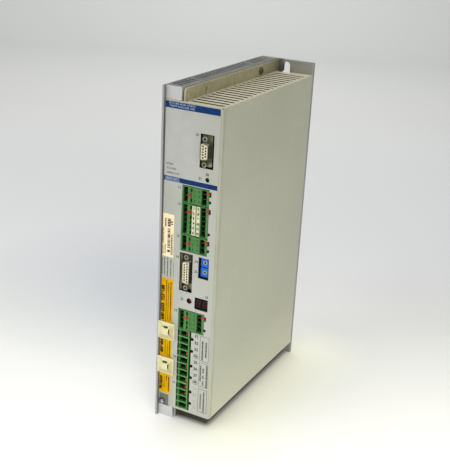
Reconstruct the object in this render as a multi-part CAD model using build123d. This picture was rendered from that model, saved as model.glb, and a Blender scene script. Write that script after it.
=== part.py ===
from build123d import *
import os

# Slim wall-mounted servo drive. All sizes are in millimetres.
# While it is drawn, x runs from the outer face of the heat sink's side wall to the right, y from the
# face of the front panel to the back, and z from the ground up. to_origin moves it to its own frame.

# Overall sizes. Width and height follow from the parts on the front, further down.
body_depth = 205.0          # face of the front panel to the back plate
housing_rise = 13.6         # underside of the housing above the ground
top_overhang = 13.0         # heat sink above the housing
right_margin = 11.1         # two-row headers to the side of the cover
above_sub_d_9 = 43.88       # middle of the upper sub-D socket to the top of the housing

# Sheet and plate
plate_thick = 5.0
panel_thick = 1.5
cover_thick = 1.2
chassis_thick = 1.5
foil_thick = 0.2
board_thick = 1.6

# Heat sink extrusion
sink_width = 19.0
sink_wall = 2.0             # outer side wall
sink_lip = 2.4              # side wall ahead of the panel's face
sink_base = 4.5             # wall that the power modules sit on
sink_web = 8.0              # front and back webs
rib_width = 9.0
front_rib = 46.6            # middle of the front screw rib, from the panel's face
back_rib = 159.3            # middle of the back screw rib
fin_thick = 1.7
fin_pitch = 6.6             # largest spacing of the fins, evened out in each bay

# Chassis sheet between heat sink and housing
chassis_gap = 2.6           # air gap between heat sink and chassis
flange_inset_top = 0.8      # chassis below the top of the heat sink
flange_inset_bottom = 2.4
flange_corner = 4.5
back_return = 14.0          # width of the flange bent along the back plate
return_inset = 20.0         # that flange below the top of the housing
flange_slot = (3.0, 4.4)    # slot in the upper flange
flange_slot_depth = 41.0    # slot from the panel's face
flange_holes = (6.0, 9.5)   # small holes at the back of the flange, from the back plate
flange_hole_radius = 0.9
window_margin = 4.0         # chassis opening round each power module

# Cover
cover_bend = 1.6
cover_lip = 8.0             # lip that lies against the chassis
cover_seam = 0.3            # cover behind the panel's returns
vent_count = 20
vent_pitch = 9.46
vent_first = 7.8            # middle of the first slot from the panel's face
vent_length = 36.0
vent_width = 3.8
vent_corner = 1.1

# Screws of plate, chassis and cover
screw_play = 0.03           # thread to its hole
hole_play = 0.05            # hole in sheet round a screw
plate_screw_radius = 2.0
plate_screw_head = 3.8
plate_screw_sink = 2.2
plate_screw_grip = 7.0      # thread in the heat sink
cross_slot = (0.9, 3.6)
cross_depth = 1.0
chassis_screw_radius = 2.0
chassis_screw_head = 4.2
chassis_screw_dome = 2.2
chassis_screw_drop = 7.0    # chassis screws from the upper end of the heat sink
chassis_screw_rise = 9.0    # and from its lower end
front_screw_drop = 65.0     # chassis screws on the front rib, inside the housing
front_screw_rise = 30.0
bush_radius = 4.0
cover_screw_radius = 1.5
cover_screw_head = 2.6
cover_screw_end = 1.0       # thread beyond the cover's lip
cover_screw_front = 30.0    # cover screws from the panel's face
cover_screw_back = 25.0     # and from the back plate
hole_floor = 1.0            # metal left behind a blind hole

# Back plate
keyhole_slot = 9.0
keyhole_round = 16.0
keyhole_drop = 13.0         # from the slot's end down to the middle of the round
keyhole_inset = 6.5         # middle of the slot's end from the plate's edge
keyhole_clearance = 6.0     # cut in the cover ahead of the keyhole
lower_slot_end = 10.5
plate_chamfer = 0.5
plate_screw_margin = 40.0   # outer plate screws from top and bottom

# Front panel
panel_gap = 0.5             # panel to the heat sink's side wall
panel_return = 5.0          # depth of the folded edges
panel_bend = 2.2            # right front edge
panel_edge_round = 1.1      # upper and lower front edge
corner_relief = 1.7
foil_edge_gap = 0.2         # foil to the bend on the right
foil_left_gap = 0.3
ground_notch = (12.3, 14.4)
ground_pocket = 0.8         # depth of the milled pocket round the ground screw
pocket_margin = 0.8         # pocket beyond the notch in the panel
opening_gap = 0.3           # panel opening round a header

# Column of parts on the front, stacked upwards from the power headers
column_left = 0.9           # headers to the chassis
power_lift = 3.5            # power headers above the underside of the housing
reset_step = 11.0           # reset button and display above the four-way header
sub_d_15_step = 41.2
code_step = 50.5
group_step = 64.2
led_step = 9.8              # status light above the header group
sub_d_9_step = 37.4

# Places across the panel, from the left edge of the headers
sub_d_15_across = 7.1
sub_d_9_across = 24.2
reset_across = 12.0
display_across = 26.0
code_across = 27.3
led_across = 27.2

# Board behind the panel that carries the connectors
board_depth = 13.0          # face of the board from the face of the panel
board_side_gap = 2.0        # boards to the cover's side and lips
board_above_sub_d = 5.0
stud_radius = 2.0
stud_inset = 2.4
stud_edge = 1.2
screw_head_radius = 2.5
screw_head_height = 1.6

# Two-row signal headers
signal_pitch = 5.08
header_end = 1.2
header_proud = 0.5          # header ahead of the panel's face
cavity_left = (1.4, 6.6)    # across the header, from its left edge
key_left = (9.3, 11.5)
cavity_right = (21.6, 27.6)
signal_width = 29.9
header_seam = 0.4           # front of each header short of its ends
seam_depth = 3.0
cavity_depth = 9.5
web_thick = 0.9             # walls between the poles
web_recess = 3.4            # those walls behind the header's front
key_depth = 6.5
key_length = 4.0
key_notch = (1.9, 1.8)      # notch in the wall under a coding tab
signal_pin = 0.9
pin_recess = 4.6            # pin tips behind the panel's face
notch_reach = 2.2           # panel notch beside a header
notch_top = (1.8, 6.8)      # from the header's top
notch_bottom = (3.9, 6.9)   # from the header's bottom
top_poles = 3
middle_poles = 6
lower_poles = 3
fourway_poles = 4
key_pole_left = 2
key_pole_right = 1
tab_proud = 0.35            # coding tab ahead of the header
tab_overhang = 1.1          # right tab beyond the header
tab_inside = 0.5            # tabs over the cavity
strip_width = 3.6
strip_gap = 1.3
strip_thick = 0.4

# Power headers
power_pitch = 7.62
power_poles = 4
power_end = 0.3
power_width = 14.4
power_side_gap = 0.4        # power header to the left edge of the signal headers
cell_wall = 1.1
cell_span = (2.4, 12.5)     # cell across the header
cell_depth = 10.0
side_rib = 1.2
right_step = (0.4, 4.0)     # step along the right wall: width and depth
power_pin = 1.2
power_opening_gap = (0.5, 1.4)
power_notch_radius = 1.75
power_notch_at = (9.1, 23.1)        # above the bottom of each power header
power_notch_reach = 3.0
coding_pin = (2.3, 3.2)
coding_recess = 0.2
coding_poles = ((1, 4), (2, 4), (1, 2))

# Sub-D connectors
contact_pitch = 2.77
row_pitch = 2.84
contact_radius = 0.5
contact_hole_radius = 0.75
contact_sides = 8
contact_recess = 2.2
shell_reach = 5.8
shell_thick = 0.65
shell_width = 7.7
shell_extra = 5.3           # shell beyond the outer contacts of the long row
shell_taper = 10.0          # degrees
shell_round = 1.4
rim_reach = 0.3             # rim of the shell ahead of the insulator
rear_inset = 1.0
flange_width = 11.7
flange_extra = 19.7         # flange beyond the outer contacts of the long row
flange_thick = 1.0
screw_extra = 13.9          # jackscrew spacing beyond the outer contacts
sub_d_9_front = -3.6        # rim of the shell from the panel's face
sub_d_9_aside = 1.3         # middle of its opening to the right of the socket
sub_d_15_front = -1.2
opening_margin = (1.6, 1.3)
jack_across_flats = 4.75
jack_length = 4.9
jack_thread_radius = 1.42
jack_thread_depth = 4.4
jack_end = 2.0

# Code switches, display, status light and reset button
code_size = 9.8
code_spacing = 10.8
code_recess = 2.6
code_opening = (11.9, 22.6)
code_opening_left = 0.25    # middle of the opening left of the switches
code_opening_drop = 0.3     # and below the middle of the pair
rotor_radius = 2.2
rotor_gap = 0.04
rotor_depth = 2.2
rotor_proud = 0.1
code_chamfer = 0.3
rotor_well = (1.3, 0.5)     # radius and depth of the sunk middle
rotor_slot = (0.6, 2.0, 0.5)
display_size = (15.0, 12.9)
display_drop = 0.4          # middle of the display below the reset button
display_opening_gap = 0.1
display_recess = 1.2
display_chamfer = 0.3
digit_height = 7.6
digit_width = 4.4
digit_spacing = 7.6
segment_width = 0.9
segment_gap = -0.5          # ends of neighbouring bars, along the bars
segment_proud = 0.15
digit_slant = 0.14
led_radius = 1.5
led_slimness = 1.6          # length of the lens by its radius
led_collar = 0.4
led_hole_radius = 2.3
led_recess = 1.6
reset_hole_radius = 3.0
reset_radius = 1.7
reset_gap = 0.05
reset_recess = 1.5
reset_travel = 0.8
reset_body = 6.2
reset_body_recess = 3.4
reset_seat = 4.0            # button inside its switch
reset_chamfer = 0.4

# Ground screw and cable-tie mounts
ground_screw_at = (5.8, 16.6)
ground_head_radius = 3.0
ground_head_height = 2.7
ground_washer_radius = 3.6
ground_washer_thick = 0.9
ground_thread_radius = 2.0
tie_mount_size = 19.4
tie_mount_left = 1.7
tie_mount_heights = (64.1, 105.0)
tie_foam = 2.3
tie_base = 0.6
tie_height = 2.3            # bridge above the base
tie_roof = 0.6
tie_top = 7.4               # flat top of the bridge
tie_leg = 1.7               # ridges from the corners
tie_hollow = 0.5            # faces between the ridges, at their inner end
tie_slot_width = 4.6
tie_corner = 0.8
tie_edge = 0.6
pad_inset = 1.0

# Inside the housing
power_board_gap = 6.0       # chassis to power board
power_board_margin = 8.0
board_back_gap = 9.0
power_board_front = 18.0
spacer_radius = 2.5
spacer_inset = 7.0
control_board_gap = 4.8     # control board to the cover
control_board_front = 18.0
control_board_drop = 27.0   # top of the control board below the top of the housing
control_board_tall = 190.0
link_size = (7.0, 8.0, 44.0)
chip_places = ((42.0, 110.0, 24.0, 24.0), (72.0, 110.0, 12.0, 20.0),
               (42.0, 60.0, 10.0, 28.0), (72.0, 60.0, 10.0, 28.0))
chip_thick = 2.5
chip_chamfer = 0.5
capacitor_count = 4
capacitor_radius = 16.0
capacitor_gap = 2.5         # capacitor tops to the cover
capacitor_behind = 39.0     # middle of the capacitors to the back plate
capacitor_first = 30.4      # lowest capacitor above the power board's edge
capacitor_space = 4.0
capacitor_neck = 4.0
crimp = 0.8
relay_size = (16.0, 14.0, 30.0)
relay_first = 38.4          # relay above the power board's edge
resistor_size = (9.0, 10.0, 60.0)
resistor_first = 108.4
part_gap = 3.0              # control board to the parts behind it
row_gap = 15.0              # those parts to the capacitors
choke_radius = (6.0, 16.0)
choke_thick = 10.0
choke_above = 24.0          # choke above the upper capacitor
transformer_above = 35.0    # transformer above the choke
transformer_size = (24.0, 30.0, 12.0)
transformer_limb = 5.0
winding_size = (19.6, 26.0)
module_depth = 82.5         # middle of the power modules
module_sizes = {"power_module": (52.4, 45.0, 84.0), "rectifier_module": (172.4, 41.0, 38.0)}
module_screw_radius = 2.2
module_end = 7.0            # screw lugs of the power modules
module_foot = 3.0
part_play = 0.3             # modules to the power board

# Derived places
chassis_left = sink_width + chassis_gap
chassis_right = chassis_left + chassis_thick
panel_left = sink_wall + panel_gap
ground_face = panel_thick + ground_pocket
foil_left = panel_left + foil_left_gap
header_left = chassis_right + column_left
width = header_left + signal_width + right_margin
cover_inner = width - cover_thick
power_left = header_left + power_side_gap
power_bottom = housing_rise + power_lift
power_length = power_poles * power_pitch + 2 * power_end
power_top = power_bottom + len(coding_poles) * power_length
fourway_bottom = power_top + opening_gap


def signal_length(poles):
    """Length of a two-row header with this many poles in a row."""
    return poles * signal_pitch + 2 * header_end


fourway_top = fourway_bottom + signal_length(fourway_poles)
group_bottom = fourway_top + group_step
group_top = group_bottom + sum(signal_length(poles) for poles in (top_poles, middle_poles, lower_poles))
reset_at = (header_left + reset_across, fourway_top + reset_step)
display_at = (header_left + display_across, fourway_top + reset_step - display_drop)
sub_d_15_at = (header_left + sub_d_15_across, fourway_top + sub_d_15_step)
code_at = (header_left + code_across, fourway_top + code_step)
led_at = (header_left + led_across, group_top + led_step)
sub_d_9_at = (header_left + sub_d_9_across, group_top + sub_d_9_step)
housing_top = sub_d_9_at[1] + above_sub_d_9
height = housing_top + top_overhang
front_board_left = chassis_right + cover_thick + board_side_gap
front_board_right = cover_inner - board_side_gap
front_board_top = sub_d_9_at[1] + (4 * contact_pitch + flange_extra) / 2 + board_above_sub_d
board_back = board_depth + board_thick
power_board_left = chassis_right + power_board_gap
power_board_right = power_board_left + board_thick
control_board_right = cover_inner - control_board_gap
control_board_left = control_board_right - board_thick
power_board_bottom = housing_rise + power_board_margin
power_board_top = housing_top - power_board_margin
capacitor_depth = body_depth - capacitor_behind
relay_depth = capacitor_depth - capacitor_radius - row_gap - relay_size[1] / 2
control_board_back = relay_depth - relay_size[1] / 2 - part_gap
control_board_top = housing_top - control_board_drop
control_board_bottom = control_board_top - control_board_tall
capacitor_pitch = 2 * capacitor_radius + capacitor_space
choke_height = (power_board_bottom + capacitor_first + (capacitor_count - 1) * capacitor_pitch
                + choke_above + choke_radius[1])
transformer_height = choke_height + choke_radius[1] + transformer_above - transformer_size[2] / 2
tie_mount_face = -foil_thick - tie_foam
front_reach = max(sink_lip, -sub_d_9_front, tie_base + tie_height - tie_mount_face)
back_face = body_depth + plate_thick
to_origin = Pos(-width / 2, (front_reach - back_face) / 2, 0)


# Small building helpers

def span(x0, x1, y0, y1, z0, z1):
    """Block between two corners."""
    return Pos((x0 + x1) / 2, (y0 + y1) / 2, (z0 + z1) / 2) * Box(x1 - x0, y1 - y0, z1 - z0)


def along_y(sketch, y0, y1):
    """Front view outline (x, z) carried from depth y0 to depth y1."""
    return extrude(Plane.XZ.offset(-y1) * sketch, amount=y1 - y0)


def along_x(sketch, x0, x1):
    """Side view outline (y, z) carried from x0 to x1."""
    return extrude(Plane.YZ.offset(x0) * sketch, amount=x1 - x0)


def rod_y(radius, x, z, y0, y1):
    """Round bar that runs front to back."""
    return along_y(Pos(x, z) * Circle(radius), y0, y1)


def rod_x(radius, y, z, x0, x1):
    """Round bar that runs across."""
    return along_x(Pos(y, z) * Circle(radius), x0, x1)


def area(x0, x1, z0, z1):
    """Rectangle between two corners of a view."""
    return Pos((x0 + x1) / 2, (z0 + z1) / 2) * Rectangle(x1 - x0, z1 - z0)


def group(solids):
    """Separate solids that share one node."""
    return Compound(children=list(solids))


# Heat sink and back plate

def sink_channels():
    """Air channels between fins, evened out in the bays between webs and ribs."""
    webs = [(panel_thick, panel_thick + sink_web)]
    webs += [(rib - rib_width / 2, rib + rib_width / 2) for rib in (front_rib, back_rib)]
    webs += [(body_depth - sink_web, body_depth)]
    across = sink_width - sink_base - sink_wall
    channels = Sketch()
    for (_, start), (stop, _) in zip(webs, webs[1:]):
        count = max(1, round((stop - start) / fin_pitch))
        step = (stop - start + fin_thick) / count
        channel = Rectangle(across, step - fin_thick)
        for index in range(count):
            middle = start - fin_thick / 2 + step * (index + 0.5)
            channels += Pos(sink_wall + across / 2, middle) * channel
    return channels


def heat_sink():
    """Extruded profile: side wall with a front lip, cross fins, ribs and base."""
    profile = area(0, sink_width, panel_thick, body_depth)
    profile += area(0, sink_wall, -sink_lip, body_depth)
    profile -= sink_channels()
    sink = extrude(profile, amount=height)
    for x, z in plate_screw_places():
        if x < sink_width:
            sink -= rod_y(plate_screw_radius, x, z, body_depth - plate_screw_grip, body_depth)
    for y, z in chassis_screw_places():
        sink -= rod_x(chassis_screw_radius, y, z, sink_width - sink_base, sink_width)
    right = panel_left + ground_notch[0] + pocket_margin
    top = housing_rise + ground_notch[1] + pocket_margin
    sink -= span(sink_wall, right, panel_thick, ground_face, housing_rise - pocket_margin, top)
    x, z = ground_screw_at
    sink -= rod_y(ground_thread_radius, x, z, ground_face, panel_thick + sink_web - hole_floor)
    return sink


def plate_screw_places():
    """Screws through the back plate: a column in the heat sink and two in the chassis."""
    levels = (plate_screw_margin, height / 2, height - plate_screw_margin)
    sink_column = [(sink_width / 2, z) for z in levels]
    chassis_column = [(chassis_right + back_return / 2, z) for z in (levels[0], levels[2])]
    return sink_column + chassis_column


def chassis_screw_places():
    """Screws that hold the chassis to the heat sink's ribs, with a bush in the gap."""
    return [(back_rib, height - chassis_screw_drop), (back_rib, chassis_screw_rise),
            (front_rib, housing_top - front_screw_drop), (front_rib, housing_rise + front_screw_rise)]


def keyhole(z_end, z_round):
    """Slot for a hanging screw that widens to a round for its head."""
    slot = area(-keyhole_slot / 2, keyhole_slot / 2, min(z_end, z_round), max(z_end, z_round))
    outline = slot + Pos(0, z_end) * Circle(keyhole_slot / 2) + Pos(0, z_round) * Circle(keyhole_round / 2)
    return Pos(width / 2, 0) * outline


def back_plate():
    """Mounting plate with a keyhole above and an open slot below."""
    outline = area(0, width, 0, height)
    key_end = height - keyhole_inset
    outline -= keyhole(key_end, key_end - keyhole_drop)
    outline -= Pos(width / 2, lower_slot_end) * Circle(keyhole_slot / 2)
    outline -= area((width - keyhole_slot) / 2, (width + keyhole_slot) / 2, 0, lower_slot_end)
    plate = along_y(outline, body_depth, back_face)
    plate = chamfer(plate.edges().filter_by(Axis.Z).sort_by(Axis.X)[-2:], plate_chamfer)
    for x, z in plate_screw_places():
        plate -= rod_y(plate_screw_radius, x, z, body_depth, back_face)
        plate -= countersink(x, z, hole_play)
    return plate


def countersink(x, z, spare):
    """Cone of a flat screw head, open to the back."""
    cone = Cone(plate_screw_radius, plate_screw_head + spare, plate_screw_sink)
    return Pos(x, back_face - plate_screw_sink / 2, z) * Rot(-90, 0, 0) * cone


def plate_screws():
    """Flat-head screws from the back, with a cross-slot in each head."""
    screws = []
    for x, z in plate_screw_places():
        grip = plate_screw_grip if x < sink_width else chassis_thick
        neck = back_face - plate_screw_sink
        screw = rod_y(plate_screw_radius - screw_play, x, z, body_depth - grip, neck)
        screw += countersink(x, z, -hole_play)
        for across, tall in (cross_slot, reversed(cross_slot)):
            screw -= Pos(x, back_face - cross_depth / 2, z) * Box(across, cross_depth, tall)
        screws.append(screw)
    return group(screws)


# Chassis and cover

def module_windows():
    """Front and back depth, and lower and upper height, of the power module and the rectifier."""
    places = {}
    for name, (rise, across, tall) in module_sizes.items():
        low = housing_rise + rise
        places[name] = (module_depth - across / 2, module_depth + across / 2, low, low + tall)
    return places


def cover_screw_places():
    """Depth and height of the screws through the cover's lips."""
    drop = cover_thick + cover_lip / 2
    depths = (cover_screw_front, body_depth - cover_screw_back)
    return [(y, z) for y in depths for z in (housing_rise + drop, housing_top - drop)]


def chassis():
    """Sheet wall with a rounded flange above and below the housing, bent along the back plate."""
    low, high = flange_inset_bottom, height - flange_inset_top
    wall = area(panel_thick, body_depth, low, high)
    wall = fillet(wall.vertices().sort_by(Axis.X)[:2], flange_corner)
    wall -= Pos(flange_slot_depth, height - chassis_screw_drop) * Rectangle(*flange_slot)
    for y0, y1, z0, z1 in module_windows().values():
        margin = window_margin
        wall -= area(y0 - margin, y1 + margin, z0 - margin, z1 + margin)
    for y, z in chassis_screw_places():
        wall -= Pos(y, z) * Circle(chassis_screw_radius + hole_play)
    for y, z in cover_screw_places():
        wall -= Pos(y, z) * Circle(cover_screw_radius + hole_play)
    for inset in flange_holes:
        wall -= Pos(body_depth - inset, housing_top + inset / 2) * Circle(flange_hole_radius)
    sheet = along_x(wall, chassis_left, chassis_right)
    low, high = housing_rise + return_inset, housing_top - return_inset
    back = area(chassis_right, chassis_right + back_return, low, high)
    for x, z in plate_screw_places():
        if x > sink_width:
            back -= Pos(x, z) * Circle(plate_screw_radius)
    return sheet + along_y(back, body_depth - chassis_thick, body_depth)


def chassis_bushes():
    """Bushes that keep the air gap between heat sink and chassis."""
    ring = RegularPolygon(bush_radius, 8) - Circle(chassis_screw_radius + 2 * hole_play)
    return group(along_x(Pos(y, z) * ring, sink_width, chassis_left) for y, z in chassis_screw_places())


def dome_screw(radius, head, dome, length):
    """Pan-head screw on the z axis, thread down, with a cross recess."""
    points = [(0, -length), (radius, -length), (radius, 0), (head, 0), (head, dome * 0.5),
              (head * 0.85, dome * 0.8), (head * 0.45, dome), (0, dome), (0, -length)]
    screw = revolve(Plane.XZ * make_face(Polyline(*points)), Axis.Z)
    for turn in (0, 90):
        screw -= Pos(0, 0, dome) * Rot(0, 0, turn) * Box(head * 1.1, head * 0.24, dome * 0.9)
    return screw


def hexagon_screw(radius, head, thick, length):
    """Hexagon screw on the z axis, thread down, for places inside."""
    screw = extrude(RegularPolygon(head, 6), amount=thick)
    return screw + Pos(0, 0, -length) * extrude(RegularPolygon(radius, 8), amount=length)


def chassis_screws():
    """Pan-head screws through chassis and bush into the heat sink."""
    reach = chassis_thick + chassis_gap + sink_base
    screw = dome_screw(chassis_screw_radius - screw_play, chassis_screw_head, chassis_screw_dome, reach)
    places = chassis_screw_places()
    return group(Pos(chassis_right, y, z) * Rot(0, 90, 0) * screw for y, z in places)


def cover_profile():
    """Section of the cover: top, side and bottom with bends, and lips along the chassis."""
    x0, z0, z1 = chassis_right, housing_rise, housing_top
    outside = area(x0, width, z0, z1)
    outside = fillet(outside.vertices().sort_by(Axis.X)[-2:], cover_bend)
    inside = area(x0 + cover_thick, cover_inner, z0 + cover_thick, z1 - cover_thick)
    inside = fillet(inside.vertices().sort_by(Axis.X)[-2:], cover_bend - cover_thick)
    gap = area(x0, x0 + cover_thick, z0 + cover_thick + cover_lip, z1 - cover_thick - cover_lip)
    return outside - inside - gap


def vent_slots():
    """Row of cross slots with cut corners, as seen from above."""
    slot = Rectangle(vent_length, vent_width)
    slot = chamfer(slot.vertices(), vent_corner)
    middle = (chassis_right + width) / 2
    return Sketch() + [Pos(middle, vent_first + vent_pitch * index) * slot for index in range(vent_count)]


def housing_cover():
    """Folded cover with vent slots through top and bottom."""
    cover = along_y(cover_profile(), panel_return + cover_seam, body_depth)
    for z in (housing_rise, housing_top - cover_thick):
        cover -= extrude(Plane.XY.offset(z) * vent_slots(), amount=cover_thick)
    for y, z in cover_screw_places():
        cover -= rod_x(cover_screw_radius + hole_play, y, z, chassis_right, chassis_right + cover_thick)
    reach = keyhole_round / 2
    cover -= span(width / 2 - reach, width / 2 + reach, body_depth - keyhole_clearance, body_depth,
                  housing_top - cover_thick, housing_top)
    return cover


def cover_screws():
    """Low screws in the air gap, through the chassis into the cover's lips."""
    reach = chassis_thick + cover_thick + cover_screw_end
    screw = hexagon_screw(cover_screw_radius, cover_screw_head, chassis_gap * 0.6, reach)
    return group(Pos(chassis_left, y, z) * Rot(0, -90, 0) * screw for y, z in cover_screw_places())


# Front panel and its foil

def signal_headers():
    """Name, poles and lower end of every two-row header, from the bottom up."""
    stack = [("signal_header_fourway", fourway_poles, fourway_bottom)]
    bottom = group_bottom
    for place, poles in (("lower", lower_poles), ("middle", middle_poles), ("top", top_poles)):
        stack.append((f"signal_header_{place}", poles, bottom))
        bottom += signal_length(poles)
    return stack


def power_headers():
    """Name, coded poles and lower end of each power header, from the top down."""
    rows = []
    for index, coded in enumerate(coding_poles):
        rows.append((f"power_header_{index + 1}", coded, power_top - (index + 1) * power_length))
    return rows


def header_openings():
    """Panel openings round the headers, with the notches for their keys."""
    gap = opening_gap
    right = header_left + signal_width + gap
    openings = Sketch()
    for _, poles, bottom in signal_headers():
        top = bottom + signal_length(poles)
        openings += area(header_left - gap, right, bottom - gap, top + gap)
        openings += area(right, right + notch_reach, top - notch_top[1], top - notch_top[0])
        openings += area(right, right + notch_reach, bottom + notch_bottom[0], bottom + notch_bottom[1])
    right = power_left + power_width + power_opening_gap[1]
    openings += area(power_left - power_opening_gap[0], right, power_bottom - gap, power_top + gap)
    radius = power_notch_radius
    end = right + power_notch_reach - radius
    for _, _, bottom in power_headers():
        for height in power_notch_at:
            middle = bottom + height
            openings += area(right, end, middle - radius, middle + radius)
            openings += Pos(end, middle) * RegularPolygon(radius, 12)
    return openings


def sub_d_opening(place, poles_long, aside=0):
    """Panel opening round a sub-D connector."""
    x, z = place
    length = (poles_long - 1) * contact_pitch + flange_extra + 2 * opening_margin[1]
    return Pos(x + aside, z) * Rectangle(flange_width + 2 * opening_margin[0], length)


def panel_openings():
    """All openings of the front panel, as seen from the front."""
    openings = header_openings() + sub_d_opening(sub_d_9_at, 5, sub_d_9_aside) + sub_d_opening(sub_d_15_at, 8)
    openings += Pos(code_at[0] - code_opening_left, code_at[1] - code_opening_drop) * Rectangle(*code_opening)
    display = [size + 2 * display_opening_gap for size in display_size]
    openings += Pos(*display_at) * Rectangle(*display)
    openings += Pos(*led_at) * Circle(led_hole_radius)
    openings += Pos(*reset_at) * Circle(reset_hole_radius)
    notch_width, notch_height = ground_notch
    openings += area(panel_left, panel_left + notch_width, housing_rise, housing_rise + notch_height)
    return openings


def right_front_edge(block):
    """Upright edge of a block that is furthest to the right and front."""
    return block.edges().filter_by(Axis.Z).sort_by(lambda edge: edge.center().X - edge.center().Y)[-1]


def front_panel():
    """Folded panel: rounded edges with returns, open corners and all the connector openings."""
    panel = span(panel_left, width, 0, panel_return, housing_rise, housing_top)
    panel = fillet(right_front_edge(panel), panel_bend)
    for end in (0, -1):
        rim = panel.faces().sort_by(Axis.Z)[end].edges()
        outer = rim.filter_by(lambda edge: edge.center().X > panel_left + panel_thick)
        panel = fillet(outer.filter_by(lambda edge: edge.center().Y < panel_return - panel_thick / 2),
                       panel_edge_round)
    inside_left = chassis_right + panel_thick
    inside = span(inside_left, width - panel_thick, panel_thick, panel_return,
                  housing_rise + panel_thick, housing_top - panel_thick)
    panel -= fillet(right_front_edge(inside), panel_bend - panel_thick)
    panel -= span(panel_left, inside_left, panel_thick, panel_return, housing_rise, housing_top)
    relief = corner_relief
    for z in (housing_rise + relief / 2, housing_top - relief / 2):
        panel -= Pos(width - relief / 2, relief / 2, z) * Box(relief, relief, relief)
    return panel - along_y(panel_openings(), 0, panel_thick)


def front_foil():
    """Printed foil on the panel, cut out like the panel."""
    edge = panel_edge_round
    foil = area(foil_left, width - panel_bend - foil_edge_gap, housing_rise + edge, housing_top - edge)
    return along_y(foil - panel_openings(), -foil_thick, 0)


# Headers

def coded_places(poles, bottom):
    """Cavity and height of the two coding tabs of a two-row header."""
    top = bottom + signal_length(poles) - header_end
    return [(cavity_left, top - signal_pitch * (key_pole_left - 0.5)),
            (cavity_right, top - signal_pitch * (key_pole_right - 0.5))]


def signal_header(poles, bottom):
    """Two-row header: a cell with its walls for each pole of a row, key slots and coding notches."""
    top = bottom + signal_length(poles)
    low, high = bottom + header_end, top - header_end
    body = span(0, signal_width, -header_proud, seam_depth, bottom + header_seam, top - header_seam)
    body += span(0, signal_width, seam_depth, board_depth, bottom, top)
    for cavity in (cavity_left, cavity_right):
        body -= span(*cavity, -header_proud, web_recess, low, high)
    for pole in range(poles):
        middle = low + signal_pitch * (pole + 0.5)
        half = (signal_pitch - web_thick) / 2
        for cavity in (cavity_left, cavity_right):
            body -= span(*cavity, web_recess, cavity_depth, middle - half, middle + half)
        half = key_length / 2
        body -= span(*key_left, -header_proud, key_depth, middle - half, middle + half)
    for cavity, middle in coded_places(poles, bottom):
        far = key_left[0] if cavity is cavity_left else signal_width
        half = key_notch[0] / 2
        body -= span(cavity[1], far, -header_proud, key_notch[1], middle - half, middle + half)
    return Pos(header_left, 0, 0) * body


def signal_pins():
    """Contact pins of all two-row headers."""
    pins = []
    for _, poles, bottom in signal_headers():
        for pole in range(poles):
            z = bottom + header_end + signal_pitch * (pole + 0.5)
            for cavity in (cavity_left, cavity_right):
                x = header_left + sum(cavity) / 2
                half = signal_pin / 2
                pin = span(x - half, x + half, pin_recess, cavity_depth, z - half, z + half)
                pins.append(pin)
    return group(pins)


def key_tabs():
    """Red coding tabs in the notches of the headers, and coding pins in the power cells."""
    tabs = []
    for _, poles, bottom in signal_headers():
        for cavity, middle in coded_places(poles, bottom):
            far = key_left[1] if cavity is cavity_left else signal_width + tab_overhang
            half = key_notch[0] / 2
            x0, x1 = header_left + cavity[1] - tab_inside, header_left + far
            tabs.append(span(x0, x1, -header_proud - tab_proud, key_notch[1], middle - half, middle + half))
    for _, coded, bottom in power_headers():
        for pole in coded:
            z = bottom + power_length - power_end - power_pitch * (pole - 0.5)
            x1 = power_left + cell_span[1]
            half = coding_pin[1] / 2
            tabs.append(span(x1 - coding_pin[0], x1, coding_recess, cell_depth, z - half, z + half))
    return group(tabs)


def marker_strips():
    """Two pole marker strips on the middle header."""
    _, poles, bottom = [row for row in signal_headers() if row[0] == "signal_header_middle"][0]
    ledge = (key_left[1] + cavity_right[0]) / 2 + header_left
    low, high = bottom + header_end, bottom + header_end + poles * signal_pitch
    strips = []
    for x0 in (ledge - strip_gap / 2 - strip_width, ledge + strip_gap / 2):
        strips.append(span(x0, x0 + strip_width, -header_proud - strip_thick, -header_proud, low, high))
    return group(strips)


def power_header(bottom):
    """One row of open cells with thin walls, side ribs and a stepped right wall."""
    top = bottom + power_length
    step_width, step_depth = right_step
    body = span(0, power_width, -header_proud, board_depth, bottom, top)
    body -= span(power_width - step_width, power_width, -header_proud, step_depth, bottom, top)
    for pole in range(power_poles):
        middle = bottom + power_end + power_pitch * (pole + 0.5)
        half = (power_pitch - cell_wall) / 2
        body -= span(*cell_span, -header_proud, cell_depth, middle - half, middle + half)
        body -= span(0, side_rib, -header_proud, board_depth, middle - half, middle + half)
    return Pos(power_left, 0, 0) * body


def power_pins():
    """Contact pins of the power headers."""
    pins = []
    half = power_pin / 2
    x = power_left + sum(cell_span) / 2
    for _, _, bottom in power_headers():
        for pole in range(power_poles):
            z = bottom + power_end + power_pitch * (pole + 0.5)
            pins.append(span(x - half, x + half, pin_recess, cell_depth, z - half, z + half))
    return group(pins)


# Sub-D connectors

def d_outline(poles_long, shrink, long_side):
    """Keystone outline of a sub-D shell; long_side is 1 with the long row on the right."""
    length = (poles_long - 1) * contact_pitch + shell_extra - 2 * shrink
    across = shell_width - 2 * shrink
    angle = 90 - shell_taper
    keystone = Trapezoid(length, across, angle)
    keystone = fillet(keystone.vertices(), shell_round - shrink / 2)
    return Rot(0, 0, 90 * long_side) * keystone


def contact_places(poles_long, long_side):
    """Contacts from the middle of the connector: a long row and a short row."""
    places = []
    for side, count in ((long_side, poles_long), (-long_side, poles_long - 1)):
        for index in range(count):
            places.append((side * row_pitch / 2, (index - (count - 1) / 2) * contact_pitch))
    return places


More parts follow.
